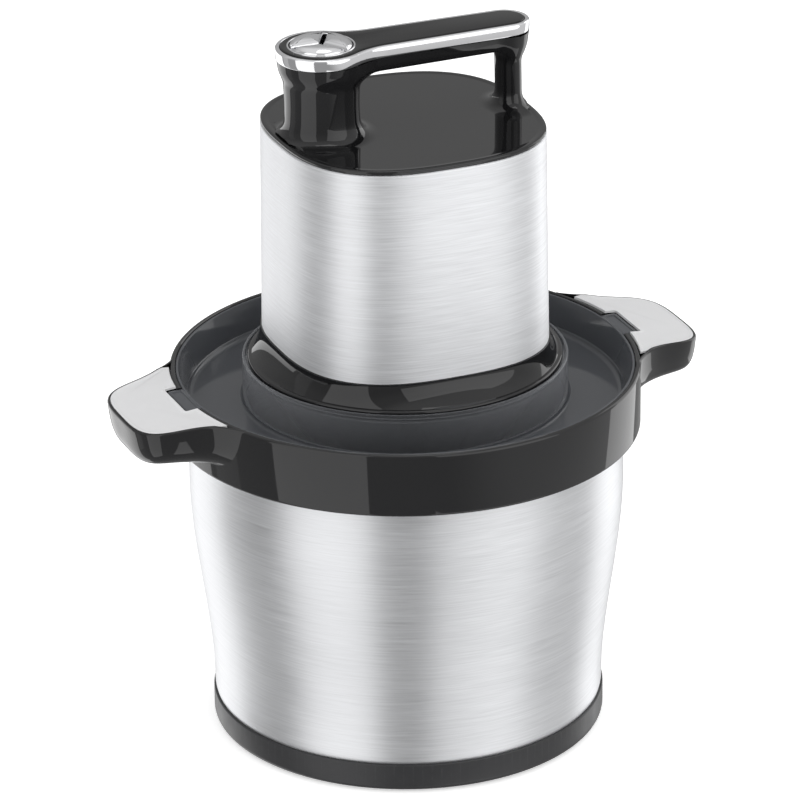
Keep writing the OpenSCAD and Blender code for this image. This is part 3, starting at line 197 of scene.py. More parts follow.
class Skin:
    """Gathers points and faces in millimetres and turns them into one piece."""

    def __init__(self) -> None:
        """Starts empty."""
        self.points: list[Point] = []
        self.faces: list[list[int]] = []

    def ring(self, points: list[Point]) -> list[int]:
        """Adds points.

        Args:
            points: places in millimetres.

        Returns:
            Their indices.
        """
        start = len(self.points)
        self.points.extend(points)
        return list(range(start, start + len(points)))

    def bridge(self, a: list[int], b: list[int], closed: bool = True) -> None:
        """Joins two rings of equal length with quads.

        Args:
            a: the first ring's indices.
            b: the second ring's indices.
            closed: whether the last point joins the first.
        """
        n = len(a)
        for i in range(n if closed else n - 1):
            k = (i + 1) % n
            self.faces.append([a[i], a[k], b[k], b[i]])

    def rings(self, rows: list[list[Point]], closed: bool = True, loop: bool = False) -> list[list[int]]:
        """Adds rows of points and joins each to the next.

        Args:
            rows: rings of equal length.
            closed: whether each ring is closed.
            loop: whether the last ring joins the first.

        Returns:
            The rings' indices.
        """
        made = [self.ring(r) for r in rows]
        for a, b in zip(made, made[1:]):
            self.bridge(a, b, closed)
        if loop:
            self.bridge(made[-1], made[0], closed)
        return made

    def cap(self, ring: list[int], flip: bool = False) -> None:
        """Closes a ring with one face.

        Args:
            ring: the ring's indices.
            flip: turns the face over.
        """
        self.faces.append(list(reversed(ring)) if flip else list(ring))

    def lathe(self, profile: list[Flat], n: int = 256) -> None:
        """Turns a profile of radius and height round the Z axis.

        Args:
            profile: the section's points, whose end joins its start.
            n: steps round the axis.
        """
        rows = []
        for i in range(n):
            a = TAU * i / n
            rows.append([(r * math.cos(a), r * math.sin(a), z) for r, z in profile])
        self.rings(rows, loop=True)

    def piece(self, name: str, sharp: float = 34.0, merge: float = 0.0) -> bpy.types.Object:
        """Makes the object, in metres, smooth apart from its sharp edges.

        Args:
            name: the piece's name.
            sharp: angle in degrees from which an edge stays sharp.
            merge: distance in millimetres within which points join.

        Returns:
            The new object, linked to the scene.
        """
        mesh = bpy.data.meshes.new(name)
        scaled = [(x * MM, y * MM, z * MM) for x, y, z in self.points]
        mesh.from_pydata(scaled, [], self.faces)
        bm = bmesh.new()
        bm.from_mesh(mesh)
        if merge > 0:
            bmesh.ops.remove_doubles(bm, verts=bm.verts, dist=merge * MM)
        flat = [f for f in bm.faces if f.calc_area() < NO_AREA]
        bmesh.ops.delete(bm, geom=flat, context="FACES_ONLY")
        bmesh.ops.recalc_face_normals(bm, faces=bm.faces)
        limit = math.radians(sharp)
        for face in bm.faces:
            face.smooth = True
        for edge in bm.edges:
            edge.smooth = len(edge.link_faces) != 2 or edge.calc_face_angle(0.0) < limit
        bm.to_mesh(mesh)
        bm.free()
        obj = bpy.data.objects.new(name, mesh)
        bpy.context.scene.collection.objects.link(obj)
        return obj


def seat(
    obj: bpy.types.Object,
    body: Body,
    slot: str,
    material: bpy.types.Material,
    *nodes: str,
) -> bpy.types.Object:
    """Dresses a new piece and puts it on its body.

    Args:
        obj: the piece.
        body: the body that it rides on.
        slot: the record's material slot; not used.
        material: its finish.
        *nodes: the CAD nodes that it stands for.

    Returns:
        The piece.
    """
    obj.data.materials.clear()
    obj.data.materials.append(material)
    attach(obj, body.value)
    if nodes:
        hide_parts(*nodes)
    LOG.info("made %s with %d faces", obj.name, len(obj.data.polygons))
    return obj


# Node groups


class Group:
    """Builds one shader node group with named inputs and outputs."""

    def __init__(self, name: str, inputs: dict[str, float], outputs: dict[str, str]) -> None:
        """Makes the group's sockets.

        Args:
            name: the group's name.
            inputs: number inputs with their first values.
            outputs: output names with their socket types.
        """
        self.tree = bpy.data.node_groups.new(name, "ShaderNodeTree")
        for key, value in inputs.items():
            socket = self.tree.interface.new_socket(key, in_out="INPUT", socket_type="NodeSocketFloat")
            socket.default_value = value
        for key, kind in outputs.items():
            self.tree.interface.new_socket(key, in_out="OUTPUT", socket_type=kind)
        self.start = self.tree.nodes.new("NodeGroupInput")
        self.end = self.tree.nodes.new("NodeGroupOutput")

    def node(self, kind: str, **settings: object) -> bpy.types.Node:
        """Adds a node.

        Args:
            kind: the node's type name.
            **settings: properties to set on it.

        Returns:
            The node.
        """
        made = self.tree.nodes.new(kind)
        for key, value in settings.items():
            setattr(made, key, value)
        return made

    def link(self, source: bpy.types.NodeSocket, target: bpy.types.NodeSocket) -> None:
        """Links two sockets."""
        self.tree.links.new(source, target)

    def math(self, what: str, a: object, b: object = 0.0) -> bpy.types.NodeSocket:
        """Adds a Math node.

        Args:
            what: the operation.
            a: a socket or a number.
            b: a socket or a number.

        Returns:
            The result's socket.
        """
        made = self.node("ShaderNodeMath", operation=what)
        for i, value in enumerate((a, b)):
            if isinstance(value, bpy.types.NodeSocket):
                self.link(value, made.inputs[i])
            else:
                made.inputs[i].default_value = value
        return made.outputs[0]

    def place(self, scale: Point) -> bpy.types.NodeSocket:
        """Object coordinates, stretched.

        Args:
            scale: factor along each axis.

        Returns:
            The coordinates' socket.
        """
        where = self.node("ShaderNodeTexCoord")
        stretch = self.node("ShaderNodeMapping")
        stretch.inputs["Scale"].default_value = scale
        self.link(where.outputs["Object"], stretch.inputs["Vector"])
        return stretch.outputs["Vector"]

    def noise(self, scale: Point, detail: float = 3.0, rough: float = 0.6) -> bpy.types.NodeSocket:
        """Noise over stretched object coordinates.

        Args:
            scale: waves per metre along each axis.
            detail: octaves.
            rough: how much the fine octaves count.

        Returns:
            The noise value's socket, about 0.5 on average.
        """
        made = self.node("ShaderNodeTexNoise")
        made.inputs["Scale"].default_value = 1.0
        made.inputs["Detail"].default_value = detail
        made.inputs["Roughness"].default_value = rough
        self.link(self.place(scale), made.inputs["Vector"])
        return made.outputs["Fac"]

    def ranged(self, value: bpy.types.NodeSocket, lo: float, hi: float) -> bpy.types.NodeSocket:
        """Spreads a value so that lo becomes 0 and hi becomes 1.

        Args:
            value: the value's socket.
            lo: what becomes 0.
            hi: what becomes 1.

        Returns:
            The spread value's socket.
        """
        made = self.node("ShaderNodeMapRange")
        made.inputs["From Min"].default_value = lo
        made.inputs["From Max"].default_value = hi
        self.link(value, made.inputs["Value"])
        return made.outputs["Result"]


class Effects:
    """The node groups that several finishes share, each built once."""

    def __init__(self) -> None:
        """Builds the groups."""
        self.brushing = self._brushing()
        self.smudges = self._smudges()
        self.grain = self._grain()
        self.wear = self._wear()

    def _brushing(self) -> bpy.types.NodeTree:
        """Fine lines that run level round a sheet, with slow clouds between them.

        Returns:
            The group, with outputs Tone, Rough and Height.
        """
        g = Group(
            "Brushed lines",
            {"Tone depth": 0.12, "Rough low": 0.24, "Rough high": 0.4},
            {"Tone": "NodeSocketFloat", "Rough": "NodeSocketFloat", "Height": "NodeSocketFloat"},
        )
        fine = g.noise((44.0, 44.0, 1600.0), 2.0, 0.55)
        broad = g.noise((24.0, 24.0, 720.0), 3.0, 0.6)
        cloud = g.noise((22.0, 22.0, 60.0), 2.0, 0.5)
        lines = g.math("ADD", g.math("MULTIPLY", fine, 0.6), g.math("MULTIPLY", broad, 0.4))
        swing = g.math("MULTIPLY", g.math("SUBTRACT", lines, 0.5), g.start.outputs["Tone depth"])
        slow = g.math("MULTIPLY", g.math("SUBTRACT", cloud, 0.5), 0.06)
        g.link(g.math("ADD", g.math("ADD", swing, slow), 1.0), g.end.inputs["Tone"])
        spread = g.ranged(lines, 0.32, 0.68)
        room = g.math("SUBTRACT", g.start.outputs["Rough high"], g.start.outputs["Rough low"])
        rough = g.math("ADD", g.math("MULTIPLY", spread, room), g.start.outputs["Rough low"])
        g.link(rough, g.end.inputs["Rough"])
        g.link(lines, g.end.inputs["Height"])
        return g.tree

    def _smudges(self) -> bpy.types.NodeTree:
        """Faint wiping marks and hairline scratches of polished plastic.

        Returns:
            The group, with outputs Rough and Height.
        """
        g = Group(
            "Wiping marks",
            {"Rough base": 0.05, "Rough swing": 0.06},
            {"Rough": "NodeSocketFloat", "Height": "NodeSocketFloat"},
        )
        patch = g.ranged(g.noise((38.0, 52.0, 44.0), 4.0, 0.65), 0.42, 0.72)
        hair = g.ranged(g.noise((160.0, 2100.0, 900.0), 2.0, 0.5), 0.62, 0.74)
        both = g.math("ADD", g.math("MULTIPLY", patch, 0.75), g.math("MULTIPLY", hair, 0.25))
        swing = g.math("MULTIPLY", both, g.start.outputs["Rough swing"])
        g.link(g.math("ADD", swing, g.start.outputs["Rough base"]), g.end.inputs["Rough"])
        g.link(g.noise((24.0, 24.0, 24.0), 1.0, 0.4), g.end.inputs["Height"])
        return g.tree

    def _grain(self) -> bpy.types.NodeTree:
        """The fine pebble of moulded or cast surfaces.

        Returns:
            The group, with outputs Tone, Rough and Height.
        """
        g = Group(
            "Moulded grain",
            {"Tone depth": 0.1, "Rough base": 0.4, "Rough swing": 0.2},
            {"Tone": "NodeSocketFloat", "Rough": "NodeSocketFloat", "Height": "NodeSocketFloat"},
        )
        fine = g.noise((1900.0, 1900.0, 1900.0), 3.0, 0.6)
        broad = g.noise((130.0, 130.0, 130.0), 3.0, 0.55)
        both = g.math("SUBTRACT", g.math("ADD", fine, broad), 1.0)
        shade = g.math("MULTIPLY", both, g.start.outputs["Tone depth"])
        g.link(g.math("ADD", shade, 1.0), g.end.inputs["Tone"])
        swing = g.math("MULTIPLY", broad, g.start.outputs["Rough swing"])
        g.link(g.math("ADD", swing, g.start.outputs["Rough base"]), g.end.inputs["Rough"])
        g.link(fine, g.end.inputs["Height"])
        return g.tree

    def _wear(self) -> bpy.types.NodeTree:
        """Where corners stand out and are rubbed first.

        Returns:
            The group, with output Mask.
        """
        g = Group("Rubbed corners", {"Amount": 0.5}, {"Mask": "NodeSocketFloat"})
        where = g.node("ShaderNodeNewGeometry")
        out = g.ranged(where.outputs["Pointiness"], 0.52, 0.62)
        broken = g.ranged(g.noise((260.0, 260.0, 260.0), 3.0, 0.6), 0.35, 0.65)
        rubbed = g.math("MULTIPLY", out, broken)
        g.link(g.math("MULTIPLY", rubbed, g.start.outputs["Amount"]), g.end.inputs["Mask"])
        return g.tree


# Finishes


def linear(code: str) -> tuple[float, float, float, float]:
    """A screen colour code as the linear colour that Blender takes.

    Args:
        code: six hexadecimal digits.

    Returns:
        Red, green, blue and 1.
    """
    out = []
    for i in (0, 2, 4):
        c = int(code[i : i + 2], 16) / 255
        out.append(c / 12.92 if c <= 0.04045 else ((c + 0.055) / 1.055) ** 2.4)
    return (out[0], out[1], out[2], 1.0)


class Pattern(Enum):
    """Which shared effect gives a finish its surface."""

    BRUSHED = "brushed"
    POLISHED = "polished"
    GRAINED = "grained"


# Share of a turn by which the brushing's stretched highlight lies across the sheet
BRUSH_TURN = 0.25
COAT_ROUGH = 0.03
# How soon smoked plastic grows dense towards a slant
SMOKE_BLEND = 0.4


@dataclass(frozen=True)
class Finish:
    """One finish: its colour, gloss and the effect that breaks it up."""

    name: str
    colour: str
    pattern: Pattern
    metallic: float = 0.0
    rough_low: float = 0.1
    rough_high: float = 0.2
    tone_depth: float = 0.1
    bump: float = 0.0002
    coat: float = 0.0
    stretch: float = 0.0
    specular: float = 0.5
    alpha: float = 1.0
    alpha_edge: float = 1.0
    worn: float = 0.0
    worn_colour: str = "8a8a8c"

    def _brush(self, tree: bpy.types.NodeTree, shader: bpy.types.Node) -> None:
        """Stretches the highlight across the brushing.

        Args:
            tree: the material's nodes.
            shader: its Principled BSDF.
        """
        shader.inputs["Anisotropic"].default_value = self.stretch
        shader.inputs["Anisotropic Rotation"].default_value = BRUSH_TURN
        lay = tree.nodes.new("ShaderNodeTangent")
        lay.direction_type = "RADIAL"
        lay.axis = "Z"
        tree.links.new(lay.outputs["Tangent"], shader.inputs["Tangent"])

    def _effect(self, tree: bpy.types.NodeTree, effects: Effects) -> bpy.types.Node:
        """Places the shared effect with this finish's own values.

        Args:
            tree: the material's nodes.
            effects: the shared node groups.

        Returns:
            The group node.
        """
        swing = self.rough_high - self.rough_low
        based = {"Rough base": self.rough_low, "Rough swing": swing}
        toned = {"Tone depth": self.tone_depth}
        group, values = {
            Pattern.POLISHED: (effects.smudges, based),
            Pattern.BRUSHED: (
                effects.brushing,
                toned | {"Rough low": self.rough_low, "Rough high": self.rough_high},
            ),
            Pattern.GRAINED: (effects.grain, toned | based),
        }[self.pattern]
        node = tree.nodes.new("ShaderNodeGroup")
        node.node_tree = group
        for key, value in values.items():
            node.inputs[key].default_value = value
        return node

    def _smoke(self, tree: bpy.types.NodeTree, shader: bpy.types.Node) -> None:
        """Makes it see-through, and denser at a slant.

        Args:
            tree: the material's nodes.
            shader: its Principled BSDF.
        """
        facing = tree.nodes.new("ShaderNodeLayerWeight")
        facing.inputs["Blend"].default_value = SMOKE_BLEND
        dense = tree.nodes.new("ShaderNodeMapRange")
        dense.inputs["To Min"].default_value = self.alpha
        dense.inputs["To Max"].default_value = self.alpha_edge
        tree.links.new(facing.outputs["Facing"], dense.inputs["Value"])
        tree.links.new(dense.outputs["Result"], shader.inputs["Alpha"])

    def _tint(self, tree: bpy.types.NodeTree, tone: bpy.types.NodeSocket) -> bpy.types.NodeSocket:
        """Varies the colour by an effect's tone.

        Args:
            tree: the material's nodes.
            tone: the effect's tone, about 1.

        Returns:
            The colour's socket.
        """
        tint = tree.nodes.new("ShaderNodeVectorMath")
        tint.operation = "SCALE"
        tint.inputs[0].default_value = linear(self.colour)[:3]
        tree.links.new(tone, tint.inputs["Scale"])
        return tint.outputs[0]

    def _rub(
        self, tree: bpy.types.NodeTree, effects: Effects, colour: bpy.types.NodeSocket
    ) -> bpy.types.NodeSocket:
        """Wears the colour off at the corners.

        Args:
            tree: the material's nodes.
            effects: the shared node groups.
            colour: the colour so far.

        Returns:
            The worn colour's socket.
        """
        wear = tree.nodes.new("ShaderNodeGroup")
        wear.node_tree = effects.wear
        wear.inputs["Amount"].default_value = self.worn
        mix = tree.nodes.new("ShaderNodeMix")
        mix.data_type = "RGBA"
        mix.inputs["B"].default_value = linear(self.worn_colour)
        tree.links.new(colour, mix.inputs["A"])
        tree.links.new(wear.outputs["Mask"], mix.inputs["Factor"])
        return mix.outputs["Result"]

    def material(self, effects: Effects) -> bpy.types.Material:
        """Builds the material.

        Args:
            effects: the shared node groups.

        Returns:
            The material.
        """
        mat = bpy.data.materials.new(self.name)
        mat.use_nodes = True
        mat.diffuse_color = linear(self.colour)
        tree = mat.node_tree
        shader = tree.nodes["Principled BSDF"]
        shader.inputs["Base Color"].default_value = linear(self.colour)
        shader.inputs["Metallic"].default_value = self.metallic
        shader.inputs["Specular IOR Level"].default_value = self.specular
        shader.inputs["Coat Weight"].default_value = self.coat
        shader.inputs["Coat Roughness"].default_value = COAT_ROUGH
        if self.stretch > 0:
            self._brush(tree, shader)
        if self.alpha < 1:
            self._smoke(tree, shader)
        group = self._effect(tree, effects)
        tree.links.new(group.outputs["Rough"], shader.inputs["Roughness"])
        if "Tone" in group.outputs:
            colour = self._tint(tree, group.outputs["Tone"])
            if self.worn > 0:
                colour = self._rub(tree, effects, colour)
            tree.links.new(colour, shader.inputs["Base Color"])
        bump = tree.nodes.new("ShaderNodeBump")
        bump.inputs["Strength"].default_value = 1.0
        bump.inputs["Distance"].default_value = self.bump
        tree.links.new(group.outputs["Height"], bump.inputs["Height"])
        tree.links.new(bump.outputs["Normal"], shader.inputs["Normal"])
        return mat


FINISHES: dict[str, Finish] = {
    "steel_brushed": Finish(
        "Brushed steel sheet", "dcdddf", Pattern.BRUSHED, 1.0, 0.38, 0.5, 0.5, 0.00002, stretch=0.7
    ),
    "sleeve_steel": Finish(
        "Brushed steel sleeve", "e6e7e9", Pattern.BRUSHED, 1.0, 0.5, 0.62, 0.55, 0.00002, stretch=0.6
    ),
    "top_gloss": Finish(
        "Gloss black top plate", "131314", Pattern.POLISHED, 0.0, 0.14, 0.24, bump=0.00002, specular=0.3
    ),
    "neck_clear": Finish(
        "Thin clear moulding",
        "8c8e92",
        Pattern.POLISHED,
        0.0,
        0.03,
        0.06,
        bump=0.00001,
        alpha=0.06,
        alpha_edge=0.75,
    ),
    "black_gloss": Finish("Gloss black moulding", "161617", Pattern.POLISHED, 0.0, 0.03, 0.07, bump=0.00002),
    "black_satin": Finish(
        "Satin black moulding", "222224", Pattern.GRAINED, 0.0, 0.32, 0.46, 0.16, 0.00002, worn=0.2
    ),
    "smoked": Finish(
        "Smoked clear moulding",
        "54565a",
        Pattern.POLISHED,
        0.0,
        0.07,
        0.13,
        bump=0.00001,
        specular=0.32,
        alpha=0.8,
        alpha_edge=0.97,
    ),
    "silver_satin": Finish(
        "Satin silver paint", "e3e3e4", Pattern.GRAINED, 0.0, 0.34, 0.46, 0.04, 0.000006, coat=0.15
    ),
    "chrome": Finish("Bright plating", "e6e6e8", Pattern.POLISHED, 1.0, 0.05, 0.1, bump=0.000006),
    "rubber": Finish("Soft rubber", "1b1b1d", Pattern.GRAINED, 0.0, 0.6, 0.8, 0.2, 0.00003),
    "bronze": Finish("Sintered bronze", "a9803a", Pattern.GRAINED, 1.0, 0.3, 0.5, 0.2, 0.00002),
    "blade_steel": Finish(
        "Ground blade steel",
        "c9cbcd",
        Pattern.GRAINED,
        1.0,
        0.14,
        0.28,
        0.06,
        0.000008,
        worn=0.4,
        worn_colour="f0f0f0",
    ),
    "acetal": Finish("Natural acetal", "ddd8c8", Pattern.GRAINED, 0.0, 0.34, 0.46, 0.05, 0.00001, worn=0.2),
    "laminations": Finish("Stacked laminations", "6f7276", Pattern.BRUSHED, 0.8, 0.35, 0.6, 0.5, 0.00004),
    "die_cast": Finish("Cast metal", "8b8e92", Pattern.GRAINED, 0.9, 0.38, 0.58, 0.16, 0.00004, worn=0.3),
    "copper_wire": Finish("Lacquered copper", "a4532a", Pattern.BRUSHED, 0.9, 0.22, 0.4, 0.5, 0.00008),
    "board": Finish("Green circuit board", "24503a", Pattern.GRAINED, 0.0, 0.28, 0.42, 0.14, 0.00002),
    "carbon": Finish("Pressed carbon", "26262a", Pattern.GRAINED, 0.2, 0.5, 0.7, 0.3, 0.00004),
    "gear_steel": Finish(
        "Hardened steel", "aaacb0", Pattern.GRAINED, 1.0, 0.2, 0.36, 0.08, 0.00001, worn=0.3
    ),
}


# Bowl


@dataclass
class Bowl:
    """The steel bowl, its collar with two ears, and the foot. Sizes in millimetres."""

    collar_r: float = 125.0
    collar_z: float = 169.0
    collar_top: float = 203.5
    collar_in: float = 122.2
    mouth_r: float = 120.9
    ledge_z: float = 180.0
    rim_z: float = 196.5
    foot_r: float = 104.7
    top_r: float = 116.0
    corner_r: float = 14.0
    floor_z: float = 7.0
    dish_z: float = 13.0
    base_r: float = 105.5
    base_h: float = 16.5
    base_edge: float = 3.6
    ear_reach: float = 162.5
    ear_root_w: float = 48.6
    ear_tip_w: float = 36.0
    ear_depth: float = 23.0
    ear_tilt: float = 7.0
    ear_corner: float = 3.5
    notch_w: float = 15.0
    notch_x: float = 130.0
    notch_z: float = 199.0
    plate_t: float = 1.4
    plate_inset: float = 1.75
    wall_t: float = 1.0
    swell_z: float = 140.0
    hole_r: float = 5.2
    dish_r: float = 21.0
    dish_foot_r: float = 29.0
    step_z: float = 177.8
    step_r: float = 1.2
    collar_low_in: float = 116.3
    collar_step_z: float = 178.7
    collar_edge: float = 1.5
    collar_foot_edge: float = 1.6
    ear_start_x: float = 112.5
    ear_round_x: float = 130.0
    ear_flare_end: float = 155.5
    ear_flare_run: float = 38.5
    ear_flare: float = 2.85
    ear_scoop_end: float = 152.5
    ear_scoop_run: float = 35.5
    ear_scoop: float = 1.7
    ear_nose: float = 6.0
    ear_tip_from: float = 43.2
    ear_edge: float = 1.3
    ear_sink: float = 0.9
    tray_x: float = 122.8
    base_in: float = 97.0
    base_under: float = 1.0

    def wall_r(self, z: float) -> float:
        """Outer radius of the wall at a height."""
        low = self.floor_z + self.corner_r
        return self.foot_r + (self.top_r - self.foot_r) * ease((z - low) / (self.swell_z - low))

    def shell(self) -> bpy.types.Object:
        """The spun steel bowl as one turned skin.

        Returns:
            The piece.
        """
        low = self.floor_z + self.corner_r
        turn_x = self.foot_r - self.corner_r
        wall = [(self.wall_r(z), z) for z in np.linspace(low, self.swell_z, 60)[1:]]
        dish = [(self.hole_r, self.dish_z), (self.dish_r, self.dish_z), (self.dish_r + 2, self.dish_z - 0.4)]
        dish += [(self.dish_foot_r, self.floor_z + 0.4), (self.dish_foot_r + 2, self.floor_z)]
        outer = dish + arc(turn_x, low, self.corner_r, -90, 0, 16) + wall
        outer += [(self.top_r, self.swell_z + 20), (self.top_r, self.step_z)]
        outer += arc(self.top_r + self.step_r, self.step_z, self.step_r, 180, 90, 4)
        outer += arc(self.mouth_r - 0.2, self.ledge_z + 0.2, self.step_r, -90, 0, 4)
        outer += [(self.mouth_r + 1.0, self.rim_z - 0.4), (self.mouth_r + 0.7, self.rim_z)]
        inner = [(self.mouth_r + 0.2, self.rim_z), (self.mouth_r, self.rim_z - 0.3)]
        inner += [(self.mouth_r, self.ledge_z + 0.8), (self.mouth_r - 0.8, self.ledge_z)]
        inner += [(self.top_r - 0.4, self.ledge_z), (self.top_r - self.wall_t, self.ledge_z - 0.8)]
        inner += [(r - self.wall_t, z) for r, z in reversed(wall)]
        inner += arc(turn_x, low, self.corner_r - self.wall_t, 0, -90, 12)
        inner += [(r, z + self.wall_t) for r, z in reversed(dish)]
        skin = Skin()
        skin.lathe(outer + inner, 288)
        return skin.piece("bowl_shell_skin", 40)

    def _collar_section(self, angle: float, notched: bool) -> list[Point]:
        """The collar's section at an angle round the axis.

        Args:
            angle: where it stands, in degrees.
            notched: whether its top is cut down for a tab.

        Returns:
            The section's points.
        """
        top = self.notch_z if notched else self.collar_top
        edge = 0.25 if notched else self.collar_edge
        low, foot = self.collar_z, self.collar_foot_edge
        prof = [(self.collar_low_in, low + 0.3), (self.collar_low_in + 0.3, low)]
        prof += arc(self.collar_r - foot, low + foot, foot, -90, 0, 6)
        prof += arc(self.collar_r - edge, top - edge, edge, 0, 90, 8)
        prof += [(self.collar_in + 0.5, top), (self.collar_in, top - 0.5)]
        prof += [(self.collar_in, self.collar_step_z), (self.collar_low_in, self.collar_step_z)]
        c, s = math.cos(math.radians(angle)), math.sin(math.radians(angle))
        return [(r * c, r * s, z) for r, z in prof]

    def collar(self) -> bpy.types.Object:
        """The collar ring, turned, with the top cut down at both notches.

        Returns:
            The piece.
        """
        cut = math.degrees(math.asin(self.notch_w / self.collar_r))
        across, along = 8, 120
        rows: list[list[Point]] = []
        for start in (0.0, 180.0):
            for i in range(across + 1):
                rows.append(self._collar_section(start - cut + 2 * cut * i / across, True))
            for i in range(along + 1):
                rows.append(self._collar_section(start + cut + (180 - 2 * cut) * i / along, False))
        skin = Skin()
        skin.rings(rows, loop=True)
        return skin.piece("bowl_collar_ring", 38)

    def _to_tip(self, x: float) -> float:
        """Share of the way from where an ear starts to round off to its tip."""
        return min(1.0, max(0.0, (x - self.ear_round_x) / (self.ear_reach - self.ear_round_x)))

    def ear_w(self, x: float) -> float:
        """Half width of an ear, which flares at the root and rounds off at the tip.

        Args:
            x: distance out along its top.

        Returns:
            The half width.
        """
        u = max(0.0, (self.ear_flare_end - x) / self.ear_flare_run)
        width = self.ear_tip_w + (self.ear_root_w - self.ear_tip_w) * u**self.ear_flare
        return width * (1 - self._to_tip(x) ** self.ear_corner) ** (1 / self.ear_corner)

    def ear_d(self, x: float) -> float:
        """Depth of an ear, which is the collar's at the root and shallower beyond the scoop.

        Args:
            x: distance out along its top.

        Returns:
            The depth.
        """
        u = max(0.0, (self.ear_scoop_end - x) / self.ear_scoop_run)
        full = self.collar_top - self.collar_z - 2
        depth = self.ear_depth + (full - self.ear_depth) * u**self.ear_scoop
        return depth * (1 - self._to_tip(x) ** self.ear_nose) ** (1 / self.ear_nose)

    def on_ear(self, x: float, y: float, z: float, side: int) -> Point:
        """A point of the ear's own top plane, tilted into place.

        Args:
            x: distance out.
            y: distance along the rim.
            z: height over the ear's top.
            side: 1 for the right ear, -1 for the left.

        Returns:
            The place in millimetres.
        """
        t = math.radians(self.ear_tilt)
        dx = x - self.collar_r
        drop = dx * math.sin(t) if dx > 0 else -0.06 * dx
        return (
            side * (self.collar_r + dx * math.cos(t) + z * math.sin(t)),
            side * y,
            self.collar_top + 1.0 - drop + z * math.cos(t),
        )

    def outline(self) -> list[Flat]:
        """Half of the ear's plan, from the root to the tip.

        Returns:
            Points of distance out and half width.
        """
        out = [(x, self.ear_w(x)) for x in np.linspace(self.ear_start_x, self.ear_flare_end, 38)]
        k = self.ear_corner
        run = self.ear_reach - self.ear_round_x
        for a in np.radians(np.linspace(self.ear_tip_from, 90.0, 34)):
            c, s = math.cos(a), math.sin(a)
            size = (c**k + s**k) ** (1 / k)
            out.append((min(self.ear_round_x + run * s / size, self.ear_reach), self.ear_tip_w * c / size))
        return out

    def plan_inset(self, distance: float) -> list[Flat]:
        """The ear's half plan moved inwards.

        Args:
            distance: how far inwards.

        Returns:
            The moved points, as many as outline() gives.
        """
        p = np.array(self.outline(), float)
        full = np.vstack([p, p[-2::-1] * [1, -1]])
        step = np.gradient(full, axis=0)
        normal = np.stack([-step[:, 1], step[:, 0]], 1)
        normal /= np.linalg.norm(normal, axis=1, keepdims=True)
        moved = full - normal * distance
        upper = np.arange(len(full)) < len(p)
        moved[:, 1] = np.where(upper, np.maximum(moved[:, 1], 0), np.minimum(moved[:, 1], 0))
        return [(float(x), float(y)) for x, y in moved[: len(p)]]

    def _past_wall(self, p: Point) -> Point:
        """A point, drawn out to the collar's wall where it lies inside it.

        Args:
            p: the point.

        Returns:
            The same point, or the one on the wall.
        """
        wall = self.collar_r - self.ear_sink
        if math.hypot(p[0], p[1]) >= wall or abs(p[1]) >= wall:
            return p
        return (math.copysign(math.sqrt(wall**2 - p[1] ** 2), p[0]), p[1], p[2])

    def _ear_hull(self, skin: Skin, side: int) -> None:
        """Adds the scooped underside of an ear.

        Args:
            skin: what it is added to.
            side: 1 for the right ear, -1 for the left.
        """
        edge = self.ear_edge
        around = 48
        rows = []
        for x, w in self.outline():
            d = max(self.ear_d(x), edge + 0.05)
            row = []
            for i in range(around + 1):
                a = math.radians(180 * i / around)
                c, s = math.cos(a), math.sin(a)
                y = w * math.copysign(abs(c) ** 0.5, c)
                row.append(self._past_wall(self.on_ear(x, y, -edge - (d - edge) * s**0.6, side)))
            rows.append(row)
        skin.rings(rows, closed=False)

    def _ear_lip(self, skin: Skin, side: int) -> None:
        """Adds the rounded lip of an ear, down to the seat of its plate.

        Args:
            skin: what it is added to.
            side: 1 for the right ear, -1 for the left.
        """
        edge = self.ear_edge
        quarter = np.linspace(0, math.pi / 2, 7)
        steps = [(edge * (1 - math.cos(a)), -edge * (1 - math.sin(a))) for a in quarter]
        steps += [(edge + 0.15, 0.0), (edge + 0.25, -0.1), (edge + 0.25, -self.plate_t)]
        for sign in (1, -1):
            rows = []
            for inset, z in steps:
                plan = self.plan_inset(inset)
                rows.append([self._past_wall(self.on_ear(x, sign * y, z, side)) for x, y in plan])
            skin.rings(rows, closed=False)

    def _ear_seat(self, skin: Skin, side: int) -> None:
        """Adds the plate's seat and the walls of the notch in it.

        Args:
            skin: what it is added to.
            side: 1 for the right ear, -1 for the left.
        """
        floor = self.plan_inset(self.ear_edge + 0.25)
        nx, ny = self.notch_x + 0.8, self.notch_w + 0.8
        grid: list[list[int]] = []
        xs = sorted([x for x, _ in floor if x > self.collar_r - 6] + [nx])
        for x in xs:
            y = max(float(np.interp(x, [p[0] for p in floor], [p[1] for p in floor])), 0.01)
            row = [y, min(ny, y), -min(ny, y), -y]
            grid.append(skin.ring([self._past_wall(self.on_ear(x, v, -self.plate_t, side)) for v in row]))
        for i, (a, b) in enumerate(zip(grid, grid[1:])):
            for k in range(3):
                if k == 1 and xs[i + 1] <= nx + 1e-6:
                    continue
                skin.faces.append([a[k], a[k + 1], b[k + 1], b[k]])
        far = nx - 0.05
        tray = [(self.tray_x, -ny), (far, -ny), (far, ny), (self.tray_x, ny)]
        low = skin.ring([(side * x, side * y, self.notch_z) for x, y in tray])
        top = self.collar_top - 1.0
        high = skin.ring([(side * x, side * y, top - (x - self.collar_r) * 0.12) for x, y in tray])
        skin.bridge(low, high, closed=False)

    def ear(self, side: int) -> bpy.types.Object:
        """One ear: a scooped hull under a lipped top that takes the plate.

        Args:
            side: 1 for the right ear, -1 for the left.

        Returns:
            The piece.
        """
        skin = Skin()
        self._ear_hull(skin, side)
        self._ear_lip(skin, side)
        self._ear_seat(skin, side)
        return skin.piece("ear_right" if side > 0 else "ear_left", 40, 0.01)

